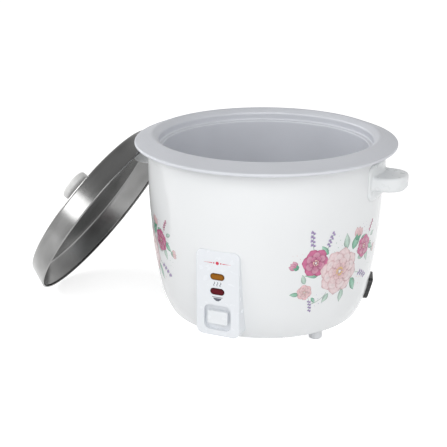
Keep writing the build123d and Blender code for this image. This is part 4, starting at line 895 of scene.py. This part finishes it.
def spray(settings):
    """Every petal of one print in millimetres from its middle, and the layer that each lies in."""
    pale, bright = np.array(settings.pale), np.array(settings.bright)
    green, lilac = np.array(settings.green), np.array(settings.lilac)
    dull_green = shade(green, 0.9, 0.35)
    # each layer's shapes, the lowest layer first, with their places across and up, turns and sizes
    layered = [
        [
            (leaf(green), -28, -1, -1.9, 17), (leaf(dull_green), -24, 6, -2.5, 15),
            (leaf(green), 12, 14, 0.35, 20), (leaf(dull_green), 4, 17, -0.35, 17),
            (leaf(green), 14, -17, 2.4, 18), (leaf(dull_green), 2, -25, 3.0, 15),
            (leaf(green), 40, 12, 1.9, 13), (leaf(dull_green), 36, 6, 2.5, 13),
            (leaf(dull_green), -44, -12, -0.5, 11), (leaf(green), -50, -22, -1.8, 10),
            (leaf(green), -20, 16, -0.9, 13), (leaf(dull_green), 22, 2, 1.2, 15),
            (leaf(dull_green), -16, -26, -2.7, 12), (leaf(green), 24, 20, 0.9, 11),
            (leaf(green), -36, -28, 2.3, 8), (leaf(dull_green), 44, 20, 0.9, 9),
            (specks(dull_green), -12, 24, 0.0, 9), (specks(pale), 30, -22, 0.6, 10),
            (specks(shade(pale, 1, 0.3)), -52, 14, 1.1, 8), (specks(lilac), -28, -32, 0.3, 8),
            (specks(dull_green), 46, -6, 0.5, 8), (specks(lilac), 28, 32, 0.2, 7),
        ],
        [
            (tendril(green), 18, 10, 0.9, 26), (tendril(dull_green), -18, -24, 3.6, 18),
            (sprig(lilac, green), -36, 20, -0.35, 20), (sprig(lilac, green), -22, 18, 0.1, 19),
            (sprig(lilac, dull_green), 20, -12, 1.75, 24),
            (sprig(lilac, dull_green), -40, -26, 2.7, 16), (sprig(bright, green), 38, 22, 0.25, 15),
        ],
        [
            (bud(pale, green), 17, 22, 0.25, 15), (bud(bright, green), -52, 4, -0.9, 11),
            (bud(pale, dull_green), 50, 4, 1.5, 10),
        ],
        [
            (star_blossom(bright), -34, 9, 0.3, 15), (star_blossom(bright), 31, 13, 0.9, 12),
            (star_blossom(shade(pale, 1.0, 0.2)), -44, -21, 0.5, 8.5),
        ],
        [
            (open_blossom(pale), -4, -5, 0.15, 25),
        ],
    ]
    rows, layers = [], []
    for layer, shapes in enumerate(layered):
        for shape, s, t, turn, size in shapes:
            turned_by = np.array([[cos(turn), -sin(turn)], [sin(turn), cos(turn)]])
            for depth, ring in enumerate(shape):
                ring[:, :2] = ring[:, :2] @ turned_by * size + (s, t)
                ring[:, 2] += turn
                ring[:, 3:5] *= size
                rows.append(ring)
                layers.append(np.full(len(ring), 4 * layer + depth))
    return np.concatenate(rows), np.concatenate(layers)


def petal_points(rows, layers, azimuth, settings):
    """Places and colours of every petal's grid.

    With u from -1 to 1 across and v from 0 to 1 along, the half width is w sin(pi v^peak)^bluntness with a
    slight wave, and the middle line bends aside by bend v^2. The place on the drum is (s, t): its angle is
    the azimuth plus s over the drum's radius and its height is t. Each petal leans, so its right edge lies
    over its neighbour's left. The colour goes from inner to outer as v^0.7, darker along the vein and in
    streaks at the base, and to the edge colour at the border, as |u|^5 + v^14."""
    u = np.linspace(-1, 1, PETAL_COLUMNS)[None, None, :]
    v = np.linspace(0.02, 0.985, PETAL_ROWS)[None, :, None]
    s0, t0, turn, long, wide, peak, blunt, bend, vein = (rows[:, k, None, None] for k in range(9))
    half = wide * np.sin(pi * v**peak) ** blunt * (1 + 0.05 * np.sin(9 * v + s0))
    side = half * u + bend * long * v**2
    along = long * v * (1 - 0.05 * u**2)
    s = s0 + side * np.cos(turn) + along * np.sin(turn)
    t = t0 + along * np.cos(turn) - side * np.sin(turn)
    height = settings.middle_height + t * MM
    layer_step, lean = 1.6 * settings.film, 0.4
    stand = settings.lift + layer_step * (layers[:, None, None] + lean * (u + 1))
    radius = casing_radius(height) + stand
    angle = radians(azimuth) + s * MM / CASING_RADIUS
    points = np.stack([radius * np.sin(angle), -radius * np.cos(angle), height + 0 * u], axis=-1)
    inner, outer, edge = (rows[:, None, None, k : k + 3] for k in (9, 12, 15))
    tone = inner + (outer - inner) * (v**0.7)[..., None]
    tone = tone * (1 - vein * np.exp(-((u * 3) ** 2)) * (1 - 0.6 * v))[..., None]
    tone = tone * (1 - 0.07 * np.cos(5 * pi * u) * (1 - v))[..., None]
    border = np.clip(np.abs(u) ** 5 + v**14, 0, 1)[..., None] * 0.75
    return points, np.clip(tone + (edge - tone) * border, 0, 1)


class COOKER_OT_print(bpy.types.Operator):
    """Sprays of blossom printed three times round the drum"""

    bl_idname = "rice_cooker.print"
    bl_label = "Print"

    def execute(self, context):
        settings = context.scene.cooker_print
        rows, layers = spray(settings)
        material = printed("transfer_print", context.scene.cooker_casing.gloss)
        corner_rows, corner_columns = grid_faces(PETAL_ROWS, PETAL_COLUMNS, False)
        one = corner_rows * PETAL_COLUMNS + corner_columns
        size = PETAL_ROWS * PETAL_COLUMNS
        faces = (one[None] + size * np.arange(len(rows))[:, None, None]).reshape(-1, 4)
        for number, azimuth in enumerate(PRINT_TURNS, 1):
            points, tones = petal_points(rows, layers, azimuth, settings)
            piece = new_piece(f"flower_print_{number}", points.reshape(-1, 3), faces.tolist())
            tint = piece.data.color_attributes.new(TINT_NAME, "FLOAT_COLOR", "POINT")
            opaque = np.ones(tones.shape[:-1] + (1,))
            colours = np.concatenate([tones, opaque], axis=-1)
            tint.data.foreach_set("color", colours.astype(np.float32).ravel())
            film = piece.modifiers.new("film", "SOLIDIFY")
            film.thickness = settings.film
            film.offset = 1
            finish_piece(piece, material, "housing", "casing_enamel")
        return {"FINISHED"}


# ---- printed signs: flat strips on the panel's face, in millimetres across and up
def ribbon(line, width):
    """Strip along a line: each point's two edges stand half the width to its left and to its right."""
    along = np.gradient(line, axis=0)
    along = along / np.linalg.norm(along, axis=1, keepdims=True)
    side = along[:, ::-1] * (-1, 1) * np.broadcast_to(width, len(line))[:, None] / 2
    return np.stack([line + side, line - side], axis=1)


def level_strip(start, end, height, width, count=25):
    """Level ribbon from start to end; its width is a number, or a function of v from 0 to 1 along it."""
    v = np.linspace(0, 1, count)
    line = np.column_stack([start + (end - start) * v, np.full(count, float(height))])
    return ribbon(line, width(v) if callable(width) else width)


def dot(middle, radius):
    """Round ribbon, 2 radius sqrt(4 v (1 - v)) wide, whose ends keep a trace of width."""
    def width(v):
        return 2 * radius * np.sqrt(4.001 * v * (1 - v) + 1e-4)

    return level_strip(middle - radius, middle + radius, 0, width)


def rule_ornament():
    """Dot between two rules that thin out towards their ends, with a smaller dot on each side of it."""
    rules = [level_strip(side * 14, side * 5.4, 0, lambda v: 0.15 + 0.75 * v**1.5) for side in (-1, 1)]
    return rules + [dot(0, 1.7), dot(-3.7, 0.75), dot(3.7, 0.75)]


def warm_sign():
    """Three rising waves: across = a sin(height), one turn each."""
    half_height, sway, stroke = 2.1, 0.62, 0.62
    up = np.linspace(-half_height, half_height, 33)
    wave = sway * np.sin(up * pi / half_height)
    return [ribbon(np.column_stack([x + wave, up]), stroke) for x in (-3.2, 0.0, 3.2)]


def cook_sign():
    """Bowl under a level rim, on a short foot: the bowl's depth follows a half ellipse."""
    across = np.linspace(-0.999, 0.999, 31)
    brim = np.column_stack([4.2 * across, np.full(31, 0.35)])
    drop = np.column_stack([np.zeros(31), 2.7 * np.sqrt(1 - across**2)])
    bowl = np.stack([brim, brim - drop], axis=1)
    return [bowl, level_strip(-5.4, 5.4, 1.2, 0.62), level_strip(-1.7, 1.7, -2.45, 0.5)]


class COOKER_OT_marks(bpy.types.Operator):
    """Printed ornament above the lenses and a plain sign under each of them"""

    bl_idname = "rice_cooker.marks"
    bl_label = "Marks"

    def execute(self, context):
        settings = context.scene.cooker_panel
        rule_ink = moulded("rule_ink", settings.rule_colour, 0.4, grain=2000, amount=0.1)
        sign_ink = moulded("sign_ink", settings.mark_colour, 0.4, grain=2000, amount=0.1)
        signs = (
            ("rule_mark", rule_ornament(), settings.rule_height, rule_ink),
            ("warm_mark", warm_sign(), settings.warm_height, sign_ink),
            ("cook_mark", cook_sign(), settings.cook_height, sign_ink),
        )
        for name, strips, height, ink in signs:
            faces, used = [], 0
            for strip in strips:
                corner_rows, corner_columns = grid_faces(len(strip), 2, False)
                faces += (corner_rows * 2 + corner_columns + used).tolist()
                used += 2 * len(strip)
            flat = np.concatenate(strips).reshape(-1, 2) * MM
            face_y = np.full(len(flat), panel_low.y - MARK_LIFT)
            piece = new_piece(name, np.column_stack([flat[:, 0], face_y, flat[:, 1] + height]), faces)
            finish_piece(piece, ink, "housing", "panel_plastic")
        return {"FINISHED"}


class COOKER_OT_fittings(bpy.types.Operator):
    """Finishes of the pieces that keep the frame's own shape"""

    bl_idname = "rice_cooker.fittings"
    bl_label = "Fittings"

    def execute(self, context):
        casing, panel = context.scene.cooker_casing, context.scene.cooker_panel
        # each slot's finish, with its own name, colour and roughness
        finishes = {
            "casing_enamel": enamel("hidden_enamel", casing.enamel_colour, casing.gloss),
            "plated_steel": rolled_metal("zinc_plate", (0.6, 0.61, 0.62), 0.35),
            "foot_plastic": moulded("foot_grey", (0.7, 0.71, 0.73), 0.5),
            "screw_steel": rolled_metal("screw_plate", (0.6, 0.6, 0.58), 0.3, (300, 300, 300)),
            "liner_steel": rolled_metal("liner_sheet", (0.6, 0.61, 0.62), 0.3),
            "plate_aluminium": rolled_metal("cast_aluminium", (0.52, 0.52, 0.53), 0.45, (400, 400, 400)),
            "element_steel": rolled_metal("element_tube", (0.28, 0.27, 0.26), 0.45),
            "terminal_steel": rolled_metal("terminal_plate", (0.6, 0.57, 0.5), 0.3),
            "ferrite": fired("ferrite_grey", (0.03, 0.03, 0.035), (0.08, 0.08, 0.085), 0.6),
            "spring_steel": rolled_metal("spring_wire", (0.4, 0.4, 0.42), 0.3),
            "fuse_sleeve": fired("glass_sleeve", (0.75, 0.73, 0.66), (0.6, 0.57, 0.5), 0.7),
            "ceramic_white": fired("white_ceramic", (0.78, 0.77, 0.72), (0.6, 0.58, 0.52), 0.5),
            "bakelite": moulded("brown_bakelite", (0.05, 0.03, 0.02), 0.35),
            "contact_brass": rolled_metal("contact_strip", (0.62, 0.42, 0.18), 0.3),
            "panel_plastic": moulded("panel_white", panel.plastic, 0.25, relief=0.02),
            "lens_amber": tinted_lens_with_painted_shade("amber_lens", panel.amber, 0.2, WARM_LENS),
            "lens_red": tinted_lens_with_painted_shade("red_lens", panel.red, 0.2, COOK_LENS),
            "lamp_glass": new_material("lamp_bulb", (0.9, 0.6, 0.4), 0.05, Transmission_Weight=0.8),
            "key_plastic": moulded("key_white", panel.key_plastic, 0.25, relief=0.02),
            "inlet_plastic": moulded("inlet_black", (0.012, 0.012, 0.013), 0.28, relief=0.04, amount=0.2),
            "pin_brass": rolled_metal("pin_plate", (0.62, 0.55, 0.38), 0.25),
            "wire_blue": moulded("blue_sheath", (0.02, 0.06, 0.35), 0.45),
            "wire_brown": moulded("brown_sheath", (0.1, 0.04, 0.02), 0.45),
            "lid_steel": rolled_metal("washer_steel", (0.5, 0.5, 0.49), 0.3),
        }
        for name, node in frame["nodes"].items():
            slot = NODE_SLOTS[name]
            if slot in finishes:
                for place in node.material_slots:
                    place.material = finishes[slot]
        return {"FINISHED"}


class COOKER_OT_stage(bpy.types.Operator):
    """Pale floor, even light, soft lamps and the camera"""

    bl_idname = "rice_cooker.stage"
    bl_label = "Stage"

    def execute(self, context):
        settings = context.scene.cooker_stage
        scene = context.scene
        scene.view_settings.view_transform = "Standard"
        self.make_floor(settings)
        self.make_sky(scene, settings)
        self.make_lamps()
        self.make_camera(scene, settings)
        return {"FINISHED"}

    def make_floor(self, settings):
        """Wide disc, lit and shaded as paint, and lifted to white where a ray sees it directly."""
        radius, sides = 12.0, 48
        angle = 2 * pi * np.arange(sides) / sides
        ring = radius * np.column_stack([np.cos(angle), np.sin(angle), np.zeros(sides)])
        floor = new_piece("floor", ring, [list(range(sides))])
        material = new_material("floor_paint", [settings.floor_tone] * 3, 0.9, Specular_IOR_Level=0.0)
        rays = add_node(material, "LightPath").outputs
        seen = math_node(material, "ADD", rays["Is Camera Ray"], rays["Is Glossy Ray"])
        seen = math_node(material, "ADD", seen, rays["Is Transmission Ray"])
        lift = math_node(material, "MULTIPLY", seen, settings.floor_lift)
        glow = add_node(material, "Emission", {"Color": (1, 1, 1, 1), "Strength": lift}).outputs[0]
        nodes = material.node_tree.nodes
        both = add_node(material, "AddShader", {0: nodes["Principled BSDF"].outputs[0], 1: glow}).outputs[0]
        material.node_tree.links.new(both, nodes["Material Output"].inputs["Surface"])
        floor.data.materials.append(material)

    def make_sky(self, scene, settings):
        """Even light, pale at the horizon and dimmer overhead."""
        world = bpy.data.worlds.new("studio")
        world.use_nodes = True
        scene.world = world
        direction = add_node(world, "TexCoord").outputs["Generated"]
        height = add_node(world, "SeparateXYZ", {"Vector": direction}).outputs["Z"]
        light = remap(world, height, settings.sky, 0.35 * settings.sky, start=0.1, end=0.9)
        world.node_tree.links.new(light, world.node_tree.nodes["Background"].inputs["Color"])

    def make_lamps(self):
        """Large soft lamps: place, size and power; each looks at the drum's middle."""
        lamps = {
            "key_lamp": ((-1.08, -1.24, 0.97), 0.65, 5),
            "front_lamp": ((0.5, -1.2, 1.2), 1.2, 9),
            "fill_lamp": ((1.4, -0.9, 0.12), 1.0, 4.5),
            "left_lamp": ((-1.6, 0.2, 0.7), 0.5, 5),
        }
        middle = Vector((0, 0, casing_high.z / 2))
        for name, (place, size, power) in lamps.items():
            light = bpy.data.lights.new(name, "AREA")
            light.size = size
            light.energy = power
            lamp = bpy.data.objects.new(name, light)
            lamp.location = place
            lamp.rotation_euler = (middle - Vector(place)).to_track_quat("-Z", "Y").to_euler()
            bpy.context.scene.collection.objects.link(lamp)

    def make_camera(self, scene, settings):
        """Camera on a sphere about the point it looks at."""
        data = bpy.data.cameras.new("camera")
        data.lens = settings.lens
        data.sensor_width = 36
        camera = bpy.data.objects.new("camera", data)
        back = Vector((
            sin(settings.azimuth) * cos(settings.elevation),
            -cos(settings.azimuth) * cos(settings.elevation),
            sin(settings.elevation),
        ))
        camera.location = Vector(settings.aim) + back * settings.distance
        camera.rotation_euler = (-back).to_track_quat("-Z", "Y").to_euler()
        scene.collection.objects.link(camera)
        scene.camera = camera


OPERATORS = (
    COOKER_OT_casing,
    COOKER_OT_print,
    COOKER_OT_pot,
    COOKER_OT_lid,
    COOKER_OT_handles,
    COOKER_OT_marks,
    COOKER_OT_fittings,
    COOKER_OT_stage,
)
SETTINGS = {
    "cooker_casing": CasingSettings,
    "cooker_print": PrintSettings,
    "cooker_pot": PotSettings,
    "cooker_lid": LidSettings,
    "cooker_handles": HandleSettings,
    "cooker_panel": PanelSettings,
    "cooker_stage": StageSettings,
}


class COOKER_PT_sidebar(bpy.types.Panel):
    """Lists the pieces and their settings"""

    bl_label = "Rice Cooker"
    bl_idname = "COOKER_PT_sidebar"
    bl_space_type = "VIEW_3D"
    bl_region_type = "UI"
    bl_category = "Rice Cooker"

    def draw(self, context):
        for operator in OPERATORS:
            self.layout.operator(operator.bl_idname)
        for name, group in SETTINGS.items():
            part = self.layout.box()
            for key in group.__annotations__:
                part.prop(getattr(context.scene, name), key)


def register():
    for group in SETTINGS.values():
        bpy.utils.register_class(group)
    for name, group in SETTINGS.items():
        setattr(bpy.types.Scene, name, PointerProperty(type=group))
    for operator in OPERATORS:
        bpy.utils.register_class(operator)
    bpy.utils.register_class(COOKER_PT_sidebar)


def unregister():
    bpy.utils.unregister_class(COOKER_PT_sidebar)
    for operator in reversed(OPERATORS):
        bpy.utils.unregister_class(operator)
    for name, group in SETTINGS.items():
        delattr(bpy.types.Scene, name)
        bpy.utils.unregister_class(group)


def main():
    register()
    for operator in OPERATORS:
        family, action = operator.bl_idname.split(".")
        getattr(getattr(bpy.ops, family), action)()


if __name__ == "__main__":
    main()
